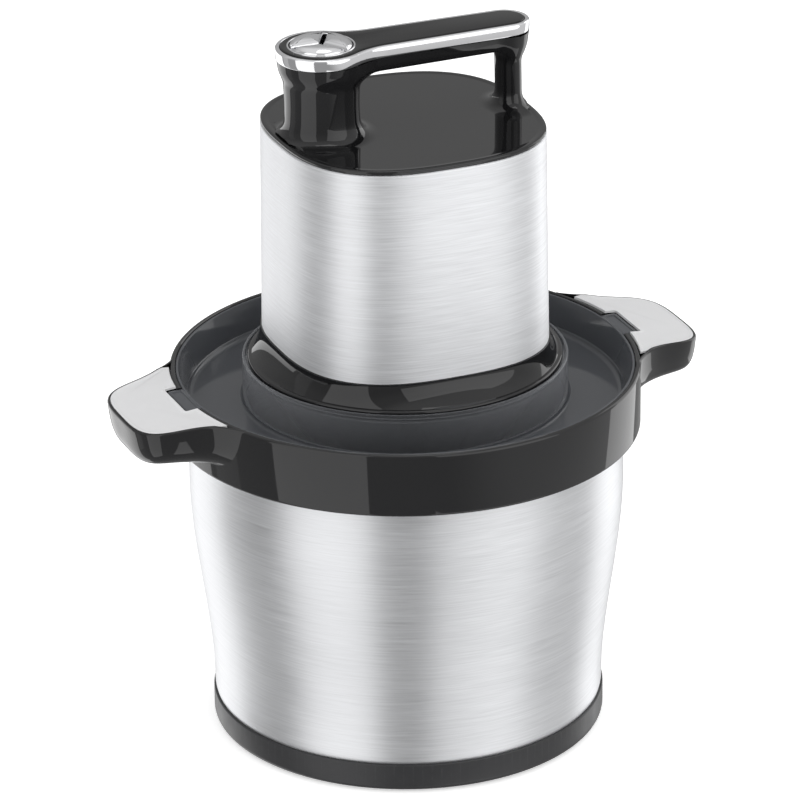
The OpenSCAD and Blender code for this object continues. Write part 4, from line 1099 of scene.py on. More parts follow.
    def plate_outline(self) -> list[Flat]:
        """The satin plate's plan: the ear's outline, a bow along the collar and the notch.

        Returns:
            The closed outline, counterclockwise.
        """
        ring_r = self.collar_r + 0.35
        least_r = ring_r + 0.3
        half = [p for p in self.plan_inset(self.plate_inset) if p[0] > self.collar_r - 4]
        half = [p for p in half if math.hypot(*p) > least_r]
        start_y = half[0][1]
        n = self.notch_w + 0.9
        reach = self.notch_x + 0.9
        a0 = math.degrees(math.atan2(start_y, math.sqrt(ring_r**2 - start_y**2)))
        a1 = math.degrees(math.asin(n / ring_r))
        bow = arc(0, 0, ring_r, a0 * 0.99, a1, 10)
        notch = [(reach - 1.2, n), (reach - 0.35, n - 0.35), (reach, n - 1.2)]
        upper = list(reversed(half)) + bow + notch
        loop = upper + [(x, -y) for x, y in reversed(upper)]
        return [loop[i] for i in range(len(loop)) if math.dist(loop[i], loop[i - 1]) > 0.05]

    def plate(self, side: int) -> bpy.types.Object:
        """The satin plate on an ear, with a raised lip round its outline and notch.

        Args:
            side: 1 for the right ear, -1 for the left.

        Returns:
            The piece.
        """
        loop = self.plate_outline()
        foot = [(0.0, -self.plate_t + 0.05), (0.0, -0.15)]
        lip = [(0.12, 0.0), (0.35, 0.05), (1.0, 0.05), (1.35, -0.02)]
        field = [(1.7, -0.2), (2.4, -0.2)]
        rows = []
        for inset, z in foot + lip + field:
            rows.append([self.on_ear(x, y, z, side) for x, y in grown(loop, -inset)])
        skin = Skin()
        made = skin.rings(rows)
        skin.cap(made[-1])
        skin.cap(made[0], flip=True)
        return skin.piece("ear_plate_right_skin" if side > 0 else "ear_plate_left_skin", 30)

    def base(self) -> bpy.types.Object:
        """The foot ring, turned, with its rounded lower edge and a lip under the steel.

        Returns:
            The piece.
        """
        edge, lip = self.base_edge, 0.7
        rim, top = self.base_r, self.base_h
        prof = [(self.base_in, self.base_under + 2), (self.base_in, self.base_under)]
        prof += arc(rim - edge, self.base_under + edge, edge, -90, 0, 10)
        prof += arc(rim - lip, top - lip, lip, 0, 90, 5)
        prof += [(rim - 0.6, top), (rim - 1.2, top - 0.6), (rim - 1.3, top - 4.5), (rim - 4, top - 8.5)]
        prof += [(self.base_in + 1, self.base_under + 4.5)]
        skin = Skin()
        skin.lathe(prof)
        return skin.piece("base_ring_rim", 40)

    def build(self, looks: dict[str, bpy.types.Material]) -> None:
        """Makes, dresses and seats the bowl's pieces.

        Args:
            looks: the finishes by slot.
        """
        seat(self.shell(), Body.BOWL, "steel_brushed", looks["steel_brushed"], "bowl_shell")
        seat(self.collar(), Body.BOWL, "black_gloss", looks["black_gloss"], "bowl_collar")
        for side in (1, -1):
            seat(self.ear(side), Body.BOWL, "black_gloss", looks["black_gloss"], "bowl_collar")
            seat(self.plate(side), Body.BOWL, "silver_satin", looks["silver_satin"], "ear_plates")
        seat(self.base(), Body.BOWL, "black_satin", looks["black_satin"])


# Lid


@dataclass
class Lid:
    """The smoked lid: sloping wall, flat floor, clear neck and two tabs. Millimetres."""

    rim_r: float = 121.9
    rim_top: float = 203.0
    corner_r: float = 115.5
    floor_z: float = 185.0
    under_z: float = 183.0
    neck_r: float = 86.5
    neck_in: float = 84.7
    neck_top: float = 209.0
    seat_z: float = 206.0
    funnel_r: float = 80.8
    cup_r: float = 52.5
    plug_z: float = 165.0
    cup_z: float = 163.6
    hole_r: float = 14.0
    rim_edge: float = 0.6
    corner_fillet: float = 3.2
    neck_fillet: float = 2.0
    under_r: float = 117.3
    tab_in: float = 121.0
    tab_out: float = 129.7
    tab_w: float = 14.4
    tab_z: float = 199.35

    def cover(self) -> bpy.types.Object:
        """The sloping wall and the flat floor, up to the neck's foot.

        Returns:
            The piece.
        """
        edge, fillet, neck = self.rim_edge, self.corner_fillet, self.neck_fillet
        top = arc(self.rim_r - edge, self.rim_top - edge, edge, 0, 90, 4)
        top += arc(self.rim_r - 1.0, self.rim_top - edge, edge, 90, 160, 3)
        top += [(self.corner_r + 0.9, self.floor_z + 2.6)]
        top += arc(self.corner_r - 2.6, self.floor_z + fillet, fillet, -18, -90, 9)
        top += arc(self.neck_r + neck, self.floor_z + neck, neck, -90, -180, 6)
        top += [(self.neck_in, self.floor_z + neck), (self.neck_in, self.under_z)]
        under = [(self.under_r, self.under_z), (self.under_r + 0.5, self.under_z + 1.0)]
        under += [(self.rim_r, self.rim_top - 2.0)]
        skin = Skin()
        skin.lathe(top + under)
        return skin.piece("lid_cover_skin", 32)

    def neck(self) -> bpy.types.Object:
        """The thin clear neck and the funnel inside it.

        Returns:
            The piece.
        """
        foot_z = self.floor_z + self.neck_fillet + 0.02
        top = [(self.neck_r, foot_z)]
        top += arc(self.neck_r - 0.9, self.neck_top - 0.9, 0.9, 0, 90, 5)
        top += arc(self.neck_in + 0.7, self.neck_top - 0.7, 0.7, 90, 180, 4)
        top += [(self.neck_in, self.seat_z), (self.funnel_r, self.seat_z)]
        top += [(self.cup_r, self.plug_z), (self.cup_r - 1.2, self.cup_z)]
        cup_under = self.cup_z - 2.0
        under = [(self.hole_r, self.cup_z), (self.hole_r, cup_under), (self.cup_r - 0.6, cup_under)]
        under += [(self.cup_r + 1.0, self.plug_z - 1.5), (self.funnel_r + 0.4, self.seat_z - 2.0)]
        under += [(self.neck_in, self.seat_z - 2.0), (self.neck_in, foot_z)]
        skin = Skin()
        skin.lathe(top + under)
        return skin.piece("lid_neck_skin", 32)

    def tab(self, side: int) -> bpy.types.Object:
        """A tab that drops into the collar's notch.

        Args:
            side: 1 for the right tab, -1 for the left.

        Returns:
            The piece.
        """
        near, far, w = self.tab_in, self.tab_out, self.tab_w
        loop = rounded_corners([(near, -w), (far, -w), (far, w), (near, w)], [0, 1.6, 1.6, 0], 5)
        low, top = self.tab_z, self.rim_top
        section = [(0.3, low), (0.0, low + 0.3), (0.0, top - 0.5), (0.15, top - 0.2), (0.45, top - 0.05)]
        section += [(1.6, top - 0.05), (2.0, top - 0.65)]
        skin = Skin()
        made = skin.rings([[(side * x, side * y, z) for x, y in grown(loop, -inset)] for inset, z in section])
        skin.cap(made[0], flip=True)
        skin.cap(made[-1])
        return skin.piece("lid_tab_right" if side > 0 else "lid_tab_left", 34)

    def build(self, looks: dict[str, bpy.types.Material]) -> None:
        """Makes, dresses and seats the lid's pieces.

        Args:
            looks: the finishes by slot.
        """
        seat(self.cover(), Body.LID, "smoked", looks["smoked"], "lid_wall", "lid_floor")
        seat(self.neck(), Body.LID, "smoked", looks["neck_clear"], "lid_neck")
        for side in (1, -1):
            seat(self.tab(side), Body.LID, "smoked", looks["smoked"], "lid_wall")


# Motor head


@dataclass
class MotorHead:
    """The plug, skirt, steel sleeve and gloss deck of the motor head. Millimetres."""

    plug_z: float = 165.0
    plug_foot: float = 51.7
    plug_top: float = 80.0
    seat_z: float = 206.0
    flange_r: float = 83.5
    flange_top: float = 210.0
    sleeve_z: float = 222.0
    sleeve_top: float = 337.0
    foot_w: float = 71.5
    top_w: float = 70.3
    deck_z: float = 339.5
    deck_sink: float = 0.25
    plug_hole: float = 20.0
    skirt_r: float = 81.3
    skirt_out: float = 0.8
    skirt_curve: float = 2.2
    facets: int = 320

    def base(self) -> bpy.types.Object:
        """The gloss plug and flange with the skirt that turns round into square.

        Returns:
            The piece.
        """
        n = 240
        prof = [(self.plug_hole, self.plug_z)]
        prof += arc(self.plug_foot - 2.0, self.plug_z + 2.0, 2.0, -90, -35, 5)
        prof += [(self.plug_top, self.seat_z), (self.flange_r - 0.4, self.seat_z)]
        prof += arc(self.flange_r - 0.8, self.seat_z + 0.8, 0.8, -60, 0, 3)
        prof += arc(self.flange_r - 1.2, self.flange_top - 1.2, 1.2, 0, 75, 6)
        rows = [lifted(circle(r, n), z) for r, z in prof]
        foot_w = self.foot_w + self.skirt_out
        both = list(zip(circle(self.skirt_r, n), squircle(foot_w, n)))
        steps = 22
        for j in range(steps + 1):
            t = j / steps
            z = self.flange_top + (self.sleeve_z - self.flange_top) * t
            k = 1 - (1 - t) ** self.skirt_curve
            rows.append([((1 - k) * a + k * c, (1 - k) * b + k * d, z) for (a, b), (c, d) in both])
        rows += [lifted(squircle(foot_w - inset, n), self.sleeve_z) for inset in (0.35, 1.6)]
        skin = Skin()
        made = skin.rings(rows)
        inner = skin.ring(lifted(circle(self.plug_hole, n), self.plug_z + 2.5))
        skin.bridge(inner, made[0])
        return skin.piece("head_base_skin", 34)

    def sleeve_w(self, z: float) -> float:
        """Half width of the sleeve at a height."""
        rise = (z - self.sleeve_z) / (self.sleeve_top - self.sleeve_z)
        return self.foot_w + (self.top_w - self.foot_w) * rise

    def sleeve(self) -> bpy.types.Object:
        """The steel sleeve with a rolled top edge and a turned-in foot.

        Returns:
            The piece.
        """
        low, top = self.sleeve_z, self.sleeve_top
        prof = [(1.0, low + 0.3), (0.7, low + 0.02), (0.25, low + 0.02), (0.0, low + 0.3)]
        prof += [(0.0, z) for z in np.linspace(low + 1.0, top - 1.4, 12)]
        prof += arc(1.2, top - 1.2, 1.2, 180, 100, 6)
        prof += [(1.6, top - 0.6), (1.6, top - 6)]
        skin = Skin()
        skin.rings([lifted(squircle(self.sleeve_w(z) - inset, self.facets), z) for inset, z in prof])
        return skin.piece("head_sleeve_skin", 40)

    def deck(self) -> bpy.types.Object:
        """The gloss deck on top of the sleeve, with a rounded lip round it.

        Returns:
            The piece.
        """
        rim, top = self.sleeve_top, self.deck_z
        sunk = top - self.deck_sink
        prof = [(2.4, rim - 3.0), (1.5, rim - 0.7), (1.3, rim + 0.3)]
        prof += arc(1.8, top - 1.1, 1.1, 190, 90, 7)
        prof += [(3.4, top), (4.2, sunk), (5.0, sunk)]
        rows = [lifted(squircle(self.top_w - inset + 0.6, self.facets), z) for inset, z in prof]
        rows += [lifted(squircle(w, self.facets), sunk) for w in (60.0, 45.0, 30.0, 15.0, 4.0)]
        skin = Skin()
        made = skin.rings(rows)
        skin.cap(made[-1])
        return skin.piece("head_cap_deck", 40)

    def build(self, looks: dict[str, bpy.types.Material]) -> None:
        """Makes, dresses and seats the head's outer pieces.

        Args:
            looks: the finishes by slot.
        """
        seat(self.base(), Body.HEAD, "black_gloss", looks["black_gloss"], "head_base")
        seat(self.sleeve(), Body.HEAD, "steel_brushed", looks["sleeve_steel"], "head_sleeve")
        seat(self.deck(), Body.HEAD, "black_gloss", looks["black_gloss"], "head_cap")


# Handle


Field = Callable[[np.ndarray], np.ndarray]


def blended(a: np.ndarray, b: np.ndarray, k: np.ndarray | float) -> np.ndarray:
    """The union of two distance fields with a rounded inner corner.

    Args:
        a: distances to the first shape.
        b: distances to the second shape.
        k: width of the rounding.

    Returns:
        Distances to both together.
    """
    h = np.maximum(k - np.abs(a - b), 0.0) / k
    return np.minimum(a, b) - h * h * k * 0.25


def net(field: Field, low: Point, high: Point, step: float) -> tuple[list[Point], list[list[int]]]:
    """A quad mesh of a field's zero level, with its points drawn onto the level.

    Args:
        field: gives distances for an array of points.
        low: lowest corner of the searched box.
        high: highest corner of the searched box.
        step: cell size.

    Returns:
        Points and faces.
    """
    axes = [np.arange(low[i], high[i] + step, step) for i in range(3)]
    grid = np.stack(np.meshgrid(*axes, indexing="ij"), -1)
    shape = grid.shape[:3]
    value = field(grid.reshape(-1, 3)).reshape(shape)
    inside = value < 0
    cells = tuple(s - 1 for s in shape)
    total = np.zeros(cells + (3,))
    count = np.zeros(cells)
    corners = [(i, j, k) for i in (0, 1) for j in (0, 1) for k in (0, 1)]

    def part(array: np.ndarray, c: tuple[int, int, int]) -> np.ndarray:
        """The values at one corner of every cell."""
        return array[c[0] : c[0] + cells[0], c[1] : c[1] + cells[1], c[2] : c[2] + cells[2]]

    for a in corners:
        for axis in range(3):
            if a[axis]:
                continue
            b = tuple(v + (1 if i == axis else 0) for i, v in enumerate(a))
            va, vb = part(value, a), part(value, b)
            crossed = part(inside, a) != part(inside, b)
            t = np.where(crossed, va / np.where(va == vb, 1, va - vb), 0)
            spot = part(grid, a) + t[..., None] * (part(grid, b) - part(grid, a))
            total += np.where(crossed[..., None], spot, 0)
            count += crossed
    used = count > 0
    index = -np.ones(cells, int)
    index[used] = np.arange(used.sum())
    points = total[used] / count[used][:, None]
    tiny, most, least_slope = 0.02, 0.4 * step, 0.05
    for _ in range(4):
        d = field(points)
        slope = np.zeros_like(points)
        for axis in range(3):
            nudge = np.zeros(3)
            nudge[axis] = tiny
            slope[:, axis] = (field(points + nudge) - field(points - nudge)) / (2 * tiny)
        size = np.maximum((slope * slope).sum(1), least_slope)
        points = points - slope * np.clip(d / size, -most, most)[:, None]
    faces: list[list[int]] = []
    for axis in range(3):
        u, v = [i for i in range(3) if i != axis]
        lo = [slice(None)] * 3
        hi = [slice(None)] * 3
        lo[axis], hi[axis] = slice(0, -1), slice(1, None)
        crossed = inside[tuple(lo)] != inside[tuple(hi)]
        first = inside[tuple(lo)]
        for c in np.argwhere(crossed):
            quad = []
            for du, dv in ((0, 0), (1, 0), (1, 1), (0, 1)):
                q = list(c)
                q[u] -= du
                q[v] -= dv
                if min(q) < 0 or any(q[i] >= cells[i] for i in range(3)):
                    break
                quad.append(int(index[tuple(q)]))
            if len(quad) == 4 and min(quad) >= 0:
                turn = bool(first[tuple(c)]) == (axis != 1)
                faces.append(quad if turn else quad[::-1])
    return [tuple(p) for p in points.tolist()], faces


@dataclass
class Handle:
    """The grip, its two posts, bright trim, top plate, bezel and buttons. Millimetres."""

    deck_z: float = 339.25
    grip_z: float = 372.0
    grip_top: float = 384.5
    trim_z: float = 380.9
    trim_top: float = 387.5
    trim_w: float = 2.5
    plate_top: float = 387.8
    pod_x: float = 45.3
    pod_r: float = 21.4
    tail_x: float = 57.7
    tail_r: float = 10.9
    waist_r: float = 40.0
    taper: float = 1.15
    post_r: float = 20.4
    post2_x: float = 60.3
    deck_flat: float = 65.9
    button_r: float = 16.6
    button_top: float = 391.0
    button_gap: float = 0.95
    button_edge: float = 3.0
    button_play: float = 0.15
    hole_r: float = 17.8
    hole_z: float = 381.5
    bezel_r: float = 16.8
    under_round: float = 5.0
    post2_rx: float = 6.4
    post2_ry: float = 10.0
    post2_mean: float = 7.2
    web: float = 4.0
    web_more: float = 5.0
    web_x: float = 22.0
    web_z: float = 352.0
    web_rise: float = 12.0
    tail_round: float = 8.0
    deck_round: float = 9.0
    cell: float = 1.15

    def outline(self, inset: float, arcs: int = 24) -> list[Flat]:
        """Plan of the top plate, drawn inwards.

        Args:
            inset: how far inwards.
            arcs: steps in each arc.

        Returns:
            The closed outline, counterclockwise from the tail's tip.
        """
        span = self.pod_x + self.tail_x
        tilt = math.radians(self.taper)
        n = (math.sin(tilt), math.cos(tilt))
        t = (math.cos(tilt), -math.sin(tilt))
        near, far = self.tail_r + self.waist_r, self.pod_r + self.waist_r
        root = (span * t[0]) ** 2 - span * span - 2 * near * span * n[0] - near * near + far * far
        a = -span * t[0] + math.sqrt(root)
        waist = (self.tail_x + a * t[0] + near * n[0], a * t[1] + near * n[1])
        join = math.degrees(math.atan2(waist[1], waist[0] + self.pod_x))
        upper = arc(self.tail_x, 0, self.tail_r - inset, 0, 90 - self.taper, arcs)
        upper += arc(waist[0], waist[1], self.waist_r + inset, 270 - self.taper, 180 + join, arcs)
        upper += arc(-self.pod_x, 0, self.pod_r - inset, join, 180, 2 * arcs)
        return upper + [(x, -y) for x, y in reversed(upper[1:-1])]

    def plan_distance(self, xy: np.ndarray) -> np.ndarray:
        """Distance from points to the plan's outline, less than 0 inside.

        Args:
            xy: points in plan.

        Returns:
            One distance for each point.
        """
        loop = np.array(self.outline(0.0, 12))
        best = np.full(len(xy), 1e9)
        inside = np.zeros(len(xy), bool)
        for a, b in zip(loop, np.roll(loop, -1, 0)):
            e, w = b - a, xy - a
            t = np.clip((w @ e) / (e @ e), 0, 1)
            best = np.minimum(best, np.hypot(*(w - t[:, None] * e).T))
            if a[1] != b[1]:
                cross = (a[1] > xy[:, 1]) != (b[1] > xy[:, 1])
                at = (b[0] - a[0]) * (xy[:, 1] - a[1]) / (b[1] - a[1]) + a[0]
                inside ^= cross & (xy[:, 0] < at)
        return np.where(inside, -best, best)

    def field(self, p: np.ndarray) -> np.ndarray:
        """Distances to the moulded grip, its posts and the deck, blended.

        Args:
            p: points in millimetres.

        Returns:
            One distance for each point.
        """
        x, y, z = p[:, 0], p[:, 1], p[:, 2]
        rise = np.clip((z - self.grip_z) / (self.trim_z - self.grip_z), 0, 1.2)
        side = self.plan_distance(p[:, :2]) - (0.2 + 1.6 * rise)
        under = self.grip_z - z
        h = np.maximum(self.under_round - np.abs(side - under), 0) / self.under_round
        grip = np.maximum(side, under) + h * h * self.under_round * 0.25
        up = np.clip((z - self.deck_z) / (self.grip_z - self.deck_z), 0, 1)
        cut = z - self.trim_z + 1
        post = np.hypot(x + self.pod_x, y) - (self.post_r - 0.8 * np.sin(up * math.pi))
        post = np.maximum(post, cut)
        lean = self.post2_x - 0.4 * up
        tail = (np.hypot((x - lean) / self.post2_rx, y / self.post2_ry) - 1) * self.post2_mean
        tail = np.maximum(tail, cut)
        inner = np.clip((x + self.pod_x) / self.web_x, 0, 1)
        inner = inner * inner * (3 - 2 * inner)
        high = np.clip((z - self.web_z) / self.web_rise, 0, 1)
        left = blended(grip, post, self.web + self.web_more * inner * high)
        both = blended(left, tail, self.tail_round)
        deck = z - self.deck_z
        whole = blended(both, deck, self.deck_round)
        rim = (np.abs(x) ** SQUARENESS + np.abs(y) ** SQUARENESS) ** (1 / SQUARENESS) - self.deck_flat
        return np.maximum(whole, rim - 2.5 * np.maximum(deck, 0))

    def grip(self) -> bpy.types.Object:
        """The grip and both posts as one moulding with rounded joins.

        Returns:
            The piece.
        """
        low = (-78.0, -32.0, self.deck_z - 1.45)
        high = (82.0, 32.0, self.trim_z - 0.4)
        skin = Skin()
        skin.points, faces = net(self.field, low, high, self.cell)
        floor, top = self.deck_z + 0.012, self.trim_z - 0.5
        flat = {i for i, p in enumerate(skin.points) if p[2] < floor or p[2] > top}
        skin.faces = [f for f in faces if not all(i in flat for i in f)]
        return skin.piece("head_cap_handle", 60)

    def trim(self) -> bpy.types.Object:
        """The bright band, a rounded section carried round the plan.

        Returns:
            The piece.
        """
        w, low, top = self.trim_w, self.trim_z, self.trim_top
        foot, crown = 0.8, 1.3
        section = [(-0.1, low), (w - 1.0, low)]
        for a in np.linspace(0.3, math.pi / 2, 4):
            section.append((w - 1.0 + foot * math.sin(a), low + foot * (1 - math.cos(a))))
        section += [(w - 0.02, low + 2.2), (w, low + 3.2)]
        for a in np.linspace(0, math.pi / 2, 7):
            section.append((w - crown + crown * math.cos(a), top - crown + crown * math.sin(a)))
        section += [(0.5, top - 0.02), (0.1, top - 0.25), (-0.1, top - 0.9)]
        skin = Skin()
        skin.rings([lifted(self.outline(-out), z) for out, z in section], loop=True)
        return skin.piece("handle_trim_band", 50)

    def top(self) -> bpy.types.Object:
        """The gloss top plate with a rounded edge and the buttons' round hole.

        Returns:
            The piece.
        """
        inset, edge, top, hole = 0.15, 0.8, self.plate_top, self.hole_r
        section = [(inset, self.grip_top), (inset, top - 0.9)]
        for a in np.linspace(0.2, math.pi / 2, 6):
            section.append((inset + edge * (1 - math.cos(a)), top - edge + edge * math.sin(a)))
        skin = Skin()
        made = skin.rings([lifted(self.outline(out), z) for out, z in section])
        for r, z in ((hole + 0.4, top), (hole + 0.1, top - 0.1), (hole, top - 0.4), (hole, self.hole_z)):
            row = []
            for x, y in self.outline(inset + edge):
                far = math.hypot(x + self.pod_x, y)
                row.append((-self.pod_x + (x + self.pod_x) * r / far, y * r / far, z))
            made.append(skin.ring(row))
            skin.bridge(made[-2], made[-1])
        return skin.piece("handle_top_plate", 36)

    def bezel(self) -> bpy.types.Object:
        """The bright ring round the buttons.

        Returns:
            The piece.
        """
        r, top = self.bezel_r, self.plate_top
        prof = [(r, top - 0.6)] + arc(r + 0.55, top - 0.1, 0.55, 0, 90, 6)
        prof += arc(r + 0.5, top - 0.05, 0.5, 90, 180, 5)
        skin = Skin()
        skin.lathe(prof, 160)
        skin.points = [(x - self.pod_x, y, z) for x, y, z in skin.points]
        return skin.piece("button_bezel_ring", 50)

    def button(self, turn: float, name: str) -> bpy.types.Object:
        """A pillow-shaped third of a disc.

        Args:
            turn: direction of its middle in degrees.
            name: the piece's name.

        Returns:
            The piece.
        """
        r = self.button_r - self.button_play
        sixth = math.radians(60)
        reach = sixth - self.button_gap / r
        bow = [(r * math.cos(a), r * math.sin(a)) for a in np.linspace(-reach, reach, 40)]
        corners = [(self.button_gap / math.sin(sixth), 0.0)] + bow
        radii = [1.2, 1.6] + [0.0] * (len(bow) - 2) + [1.6]
        loop = rounded_corners(corners, radii, 7)
        edge, top = self.button_edge, self.button_top
        section: list[Flat] = [(0.0, self.grip_top - 1.0), (0.0, top - edge - 1.0)]
        for a in np.linspace(0.1, 1.05, 9):
            section.append((edge * (1 - math.cos(a)), top - edge - 1.1 + (edge - 0.1) * math.sin(a)))
        rows = [[(x, y, z) for x, y in grown(loop, -inset)] for inset, z in section]
        rim, last = section[-1]
        middle = r * 0.56
        for k in range(1, 9):
            s = k / 8.5
            inner = [(x + (middle - x) * s, y - y * s) for x, y in grown(loop, -rim)]
            rows.append([(x, y, last + (top - last) * self._swell(x, y, rim)) for x, y in inner])
        skin = Skin()
        made = skin.rings([[self._turned(x, y, z, turn) for x, y, z in row] for row in rows])
        skin.cap(made[-1])
        skin.cap(made[0], flip=True)
        return skin.piece(name, 60)

    def _swell(self, x: float, y: float, rim: float) -> float:
        """How far a button's pillow has risen at a point.

        Args:
            x: place along the button's middle line.
            y: place across it.
            rim: width of the rounded edge.

        Returns:
            0 at the rounded edge, towards 1 in the middle.
        """
        lean = math.sin(math.radians(60)) * x
        gap, r = self.button_gap, self.button_r - self.button_play
        sides = (lean - 0.5 * y - gap, lean + 0.5 * y - gap, r - math.hypot(x, y))
        near = sum(max(d, 0.2) ** -3 for d in sides) ** (-1 / 3)
        return 1.3 * (1 - math.exp(-max(near - 0.8 * rim, 0.0) / 3.0))

    def _turned(self, x: float, y: float, z: float, turn: float) -> Point:
        """A point of a button turned to its direction about the pod's middle."""
        a = math.radians(turn)
        return (-self.pod_x + x * math.cos(a) - y * math.sin(a), x * math.sin(a) + y * math.cos(a), z)

    def build(self, looks: dict[str, bpy.types.Material]) -> None:
        """Makes, dresses and seats the handle's pieces.

        Args:
            looks: the finishes by slot.
        """
        seat(self.grip(), Body.HEAD, "black_gloss", looks["black_gloss"], "head_cap")
        seat(self.trim(), Body.HEAD, "chrome", looks["chrome"], "handle_trim")
        seat(self.top(), Body.HEAD, "black_gloss", looks["top_gloss"], "handle_top")
        seat(self.bezel(), Body.HEAD, "chrome", looks["chrome"], "button_bezel")
        for turn, body, node in (
            (0.0, Body.RIGHT, "button_right"),
            (120.0, Body.REAR, "button_rear"),
            (240.0, Body.FRONT, "button_front"),
        ):
            seat(self.button(turn, node + "_cap"), body, "chrome", looks["chrome"], node)


# Studio


@dataclass
class Studio:
    """Camera, floor, the room's plain light and the softboxes."""

    distance: float = 2.75
    height: float = 1.374
    azimuth: float = -22.9564
    focal_px: float = 5634.85
    pitch: float = 23.4605
    yaw: float = 0.062
    roll: float = -0.6
    fill: float = 0.72
    mirror_low: float = 0.34
    mirror_right: float = 0.34
    mirror_top: float = 0.12
    mirror_zenith: float = 0.38
    floor_lift: float = 0.5
    floor_half: float = 3000.0
    floor_z: float = -0.2
    panel_r: float = 1.7
    top_side: float = 0.9
    top_glow: float = 1.3
    sensor: float = 36.0
    image_w: int = 800

    def camera(self) -> None:
        """Sets the camera that the photograph was fitted with."""
        a = math.radians(self.azimuth)
        place = Vector((math.sin(a) * self.distance, -math.cos(a) * self.distance, self.height))
        ay = a + math.radians(self.yaw)
        p = math.radians(self.pitch)
        forward = Vector((-math.sin(ay) * math.cos(p), math.cos(ay) * math.cos(p), -math.sin(p)))
        right = forward.cross(Vector((0, 0, 1))).normalized()
        up = right.cross(forward)
        r = math.radians(self.roll)
        right2 = right * math.cos(r) + up * math.sin(r)
        up2 = up * math.cos(r) - right * math.sin(r)
        data = bpy.data.cameras.new("studio_camera")
        data.sensor_width = self.sensor
        data.lens = self.sensor * self.focal_px / self.image_w
        data.clip_end = 50
        cam = bpy.data.objects.new("studio_camera", data)
        bpy.context.scene.collection.objects.link(cam)
        turn = Matrix((right2, up2, -forward)).transposed().to_4x4()
        cam.matrix_world = Matrix.Translation(place) @ turn
        bpy.context.scene.camera = cam

    def lamp(self, name: str, place: Point, aim: Point, size: Flat, power: float) -> None:
        """Adds a softbox.

        Args:
            name: the lamp's name.
            place: where it stands, in metres.
            aim: what it points at.
            size: its width and height.
            power: its output in watts.
        """
        data = bpy.data.lights.new(name, "AREA")
        data.shape = "RECTANGLE"
        data.size, data.size_y = size
        data.energy = power
        obj = bpy.data.objects.new(name, data)
        obj.location = place
        obj.rotation_mode = "QUATERNION"
        obj.rotation_quaternion = (Vector(aim) - Vector(place)).to_track_quat("-Z", "Y")
        bpy.context.scene.collection.objects.link(obj)

    def bearing(self, turn: float) -> Flat:
        """Level direction at an angle round the object from the camera's side."""
        a = math.radians(-90.0 + self.azimuth + turn)
        return math.cos(a), math.sin(a)

    def world(self) -> None:
        """A plain pale room: white to the camera and through glass, greyer in a mirror."""
        world = bpy.data.worlds.new("studio_world")
        bpy.context.scene.world = world
        world.use_nodes = True
        tree = world.node_tree
        nodes, links = tree.nodes, tree.links
        path = nodes.new("ShaderNodeLightPath")
        where = nodes.new("ShaderNodeTexCoord")
        up = (0.0, 0.0, 1.0)
        # Direction, where the light starts and ends along it, and how much it adds
        parts = (
            ((*self.bearing(85), 0.0), 0.36, 0.85, self.mirror_right),
            (up, -0.1, 0.45, self.mirror_top),
            (up, 0.52, 0.95, self.mirror_zenith),
        )
        total: bpy.types.NodeSocket | None = None
        for toward, lo, hi, gain in parts:
            dot = nodes.new("ShaderNodeVectorMath")
            dot.operation = "DOT_PRODUCT"
            dot.inputs[1].default_value = toward
            links.new(where.outputs["Generated"], dot.inputs[0])
            spread = nodes.new("ShaderNodeMapRange")
            spread.interpolation_type = "SMOOTHSTEP"
            spread.inputs["From Min"].default_value = lo
            spread.inputs["From Max"].default_value = hi
            spread.inputs["To Max"].default_value = gain
            links.new(dot.outputs["Value"], spread.inputs["Value"])
            level = nodes.new("ShaderNodeMath")
            level.inputs[0].default_value = self.mirror_low
            if total is not None:
                links.new(total, level.inputs[0])
            links.new(spread.outputs["Result"], level.inputs[1])
            total = level.outputs[0]
        mirrored = nodes.new("ShaderNodeMix")
        mirrored.inputs["A"].default_value = self.fill
        links.new(path.outputs["Is Glossy Ray"], mirrored.inputs["Factor"])
        links.new(total, mirrored.inputs["B"])
        white = nodes.new("ShaderNodeMath")
        white.operation = "MAXIMUM"
        links.new(path.outputs["Is Camera Ray"], white.inputs[0])
        links.new(path.outputs["Is Transmission Ray"], white.inputs[1])
        seen = nodes.new("ShaderNodeMix")
        seen.inputs["B"].default_value = 1.0
        links.new(white.outputs[0], seen.inputs["Factor"])
        links.new(mirrored.outputs["Result"], seen.inputs["A"])
        links.new(seen.outputs["Result"], nodes["Background"].inputs["Strength"])
        nodes["Background"].inputs["Color"].default_value = (1, 1, 1, 1)

    def floor(self) -> None:
        """A plain white floor that keeps the object's shadow."""
        skin = Skin()
        half = self.floor_half
        corners = [(-half, -half), (half, -half), (half, half), (-half, half)]
        skin.cap(skin.ring(lifted(corners, self.floor_z)))
        obj = skin.piece("studio_floor")
        mat = bpy.data.materials.new("Studio floor")
        mat.use_nodes = True
        shader = mat.node_tree.nodes["Principled BSDF"]
        shader.inputs["Base Color"].default_value = (0.9, 0.9, 0.9, 1)
        shader.inputs["Roughness"].default_value = 1.0
        shader.inputs["Specular IOR Level"].default_value = 0.0
        path = mat.node_tree.nodes.new("ShaderNodeLightPath")
        lift = mat.node_tree.nodes.new("ShaderNodeMath")
        lift.operation = "MULTIPLY"
        lift.inputs[1].default_value = self.floor_lift
        mat.node_tree.links.new(path.outputs["Is Camera Ray"], lift.inputs[0])
        mat.node_tree.links.new(lift.outputs[0], shader.inputs["Emission Strength"])
        shader.inputs["Emission Color"].default_value = (1, 1, 1, 1)
        obj.data.materials.append(mat)
        obj.visible_glossy = False
        obj.visible_shadow = False

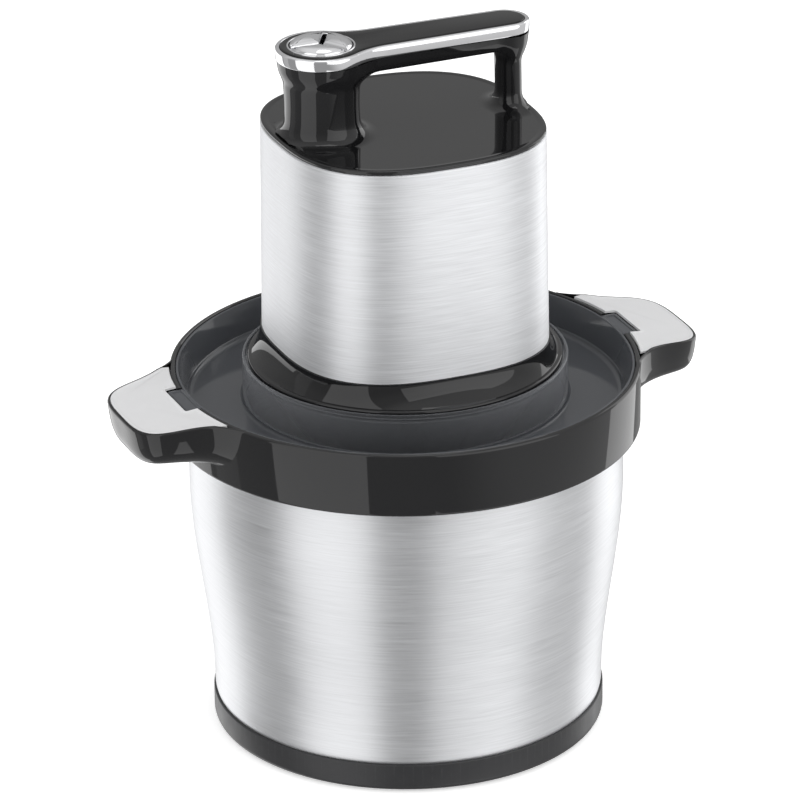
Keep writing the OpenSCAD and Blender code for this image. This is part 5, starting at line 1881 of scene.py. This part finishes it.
    def panel(self, name: str, turn: float, wide: float, low: float, high: float, glow: float) -> None:
        """Adds an upright softbox at an angle round the object.

        Args:
            name: the lamp's name.
            turn: its direction in degrees, less than 0 to the camera's left.
            wide: the angle that it spans in degrees.
            low: height of its lower edge in metres.
            high: height of its upper edge in metres.
            glow: its brightness, where 1 is white.
        """
        size = (2 * self.panel_r * math.tan(math.radians(wide / 2)), high - low)
        middle = (low + high) / 2
        x, y = self.bearing(turn)
        place = (self.panel_r * x, self.panel_r * y, middle)
        self.lamp(name, place, (0, 0, middle), size, glow * math.pi * size[0] * size[1])

    def build(self) -> None:
        """Sets up the whole studio."""
        bpy.context.scene.view_settings.view_transform = "Standard"
        self.camera()
        self.world()
        self.floor()
        panels = (
            ("front_left_box", -41.5, 47, -3.0, 2.4, 0.95),
            ("front_right_box", 44, 60, -0.12, 2.2, 0.95),
            ("front_right_low_box", 44, 60, -3.2, -0.95, 0.95),
            ("left_strip", -96.5, 17, -1.0, 1.6, 0.15),
            ("back_left_box", -133, 46, -3.0, 0.3, 1.2),
            ("back_right_box", 131, 34, -1.0, 1.6, 1.1),
        )
        for panel in panels:
            self.panel(*panel)
        side = self.top_side
        power = self.top_glow * math.pi * side * side
        self.lamp("top_box", (0.1, -0.1, 2.6), (0.0, 0.0, 0.3), (side, side), power)


# Assembly


def dress_nodes(looks: dict[str, bpy.types.Material]) -> None:
    """Gives each CAD node the finish of its material slot.

    Args:
        looks: the finishes by slot.
    """
    for row in frame["record"]["subparts"]:
        obj = frame["nodes"][row["node"]]
        obj.data.materials.clear()
        obj.data.materials.append(looks[row["material_slot"]])
    LOG.info("dressed %d nodes", len(frame["nodes"]))


def main() -> None:
    """Builds the classes in order."""
    logging.basicConfig(level=logging.INFO, format="%(name)s: %(message)s")
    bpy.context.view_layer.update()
    Studio().build()
    effects = Effects()
    looks = {slot: finish.material(effects) for slot, finish in FINISHES.items()}
    dress_nodes(looks)
    Bowl().build(looks)
    Lid().build(looks)
    MotorHead().build(looks)
    Handle().build(looks)


if __name__ == "__main__":
    main()
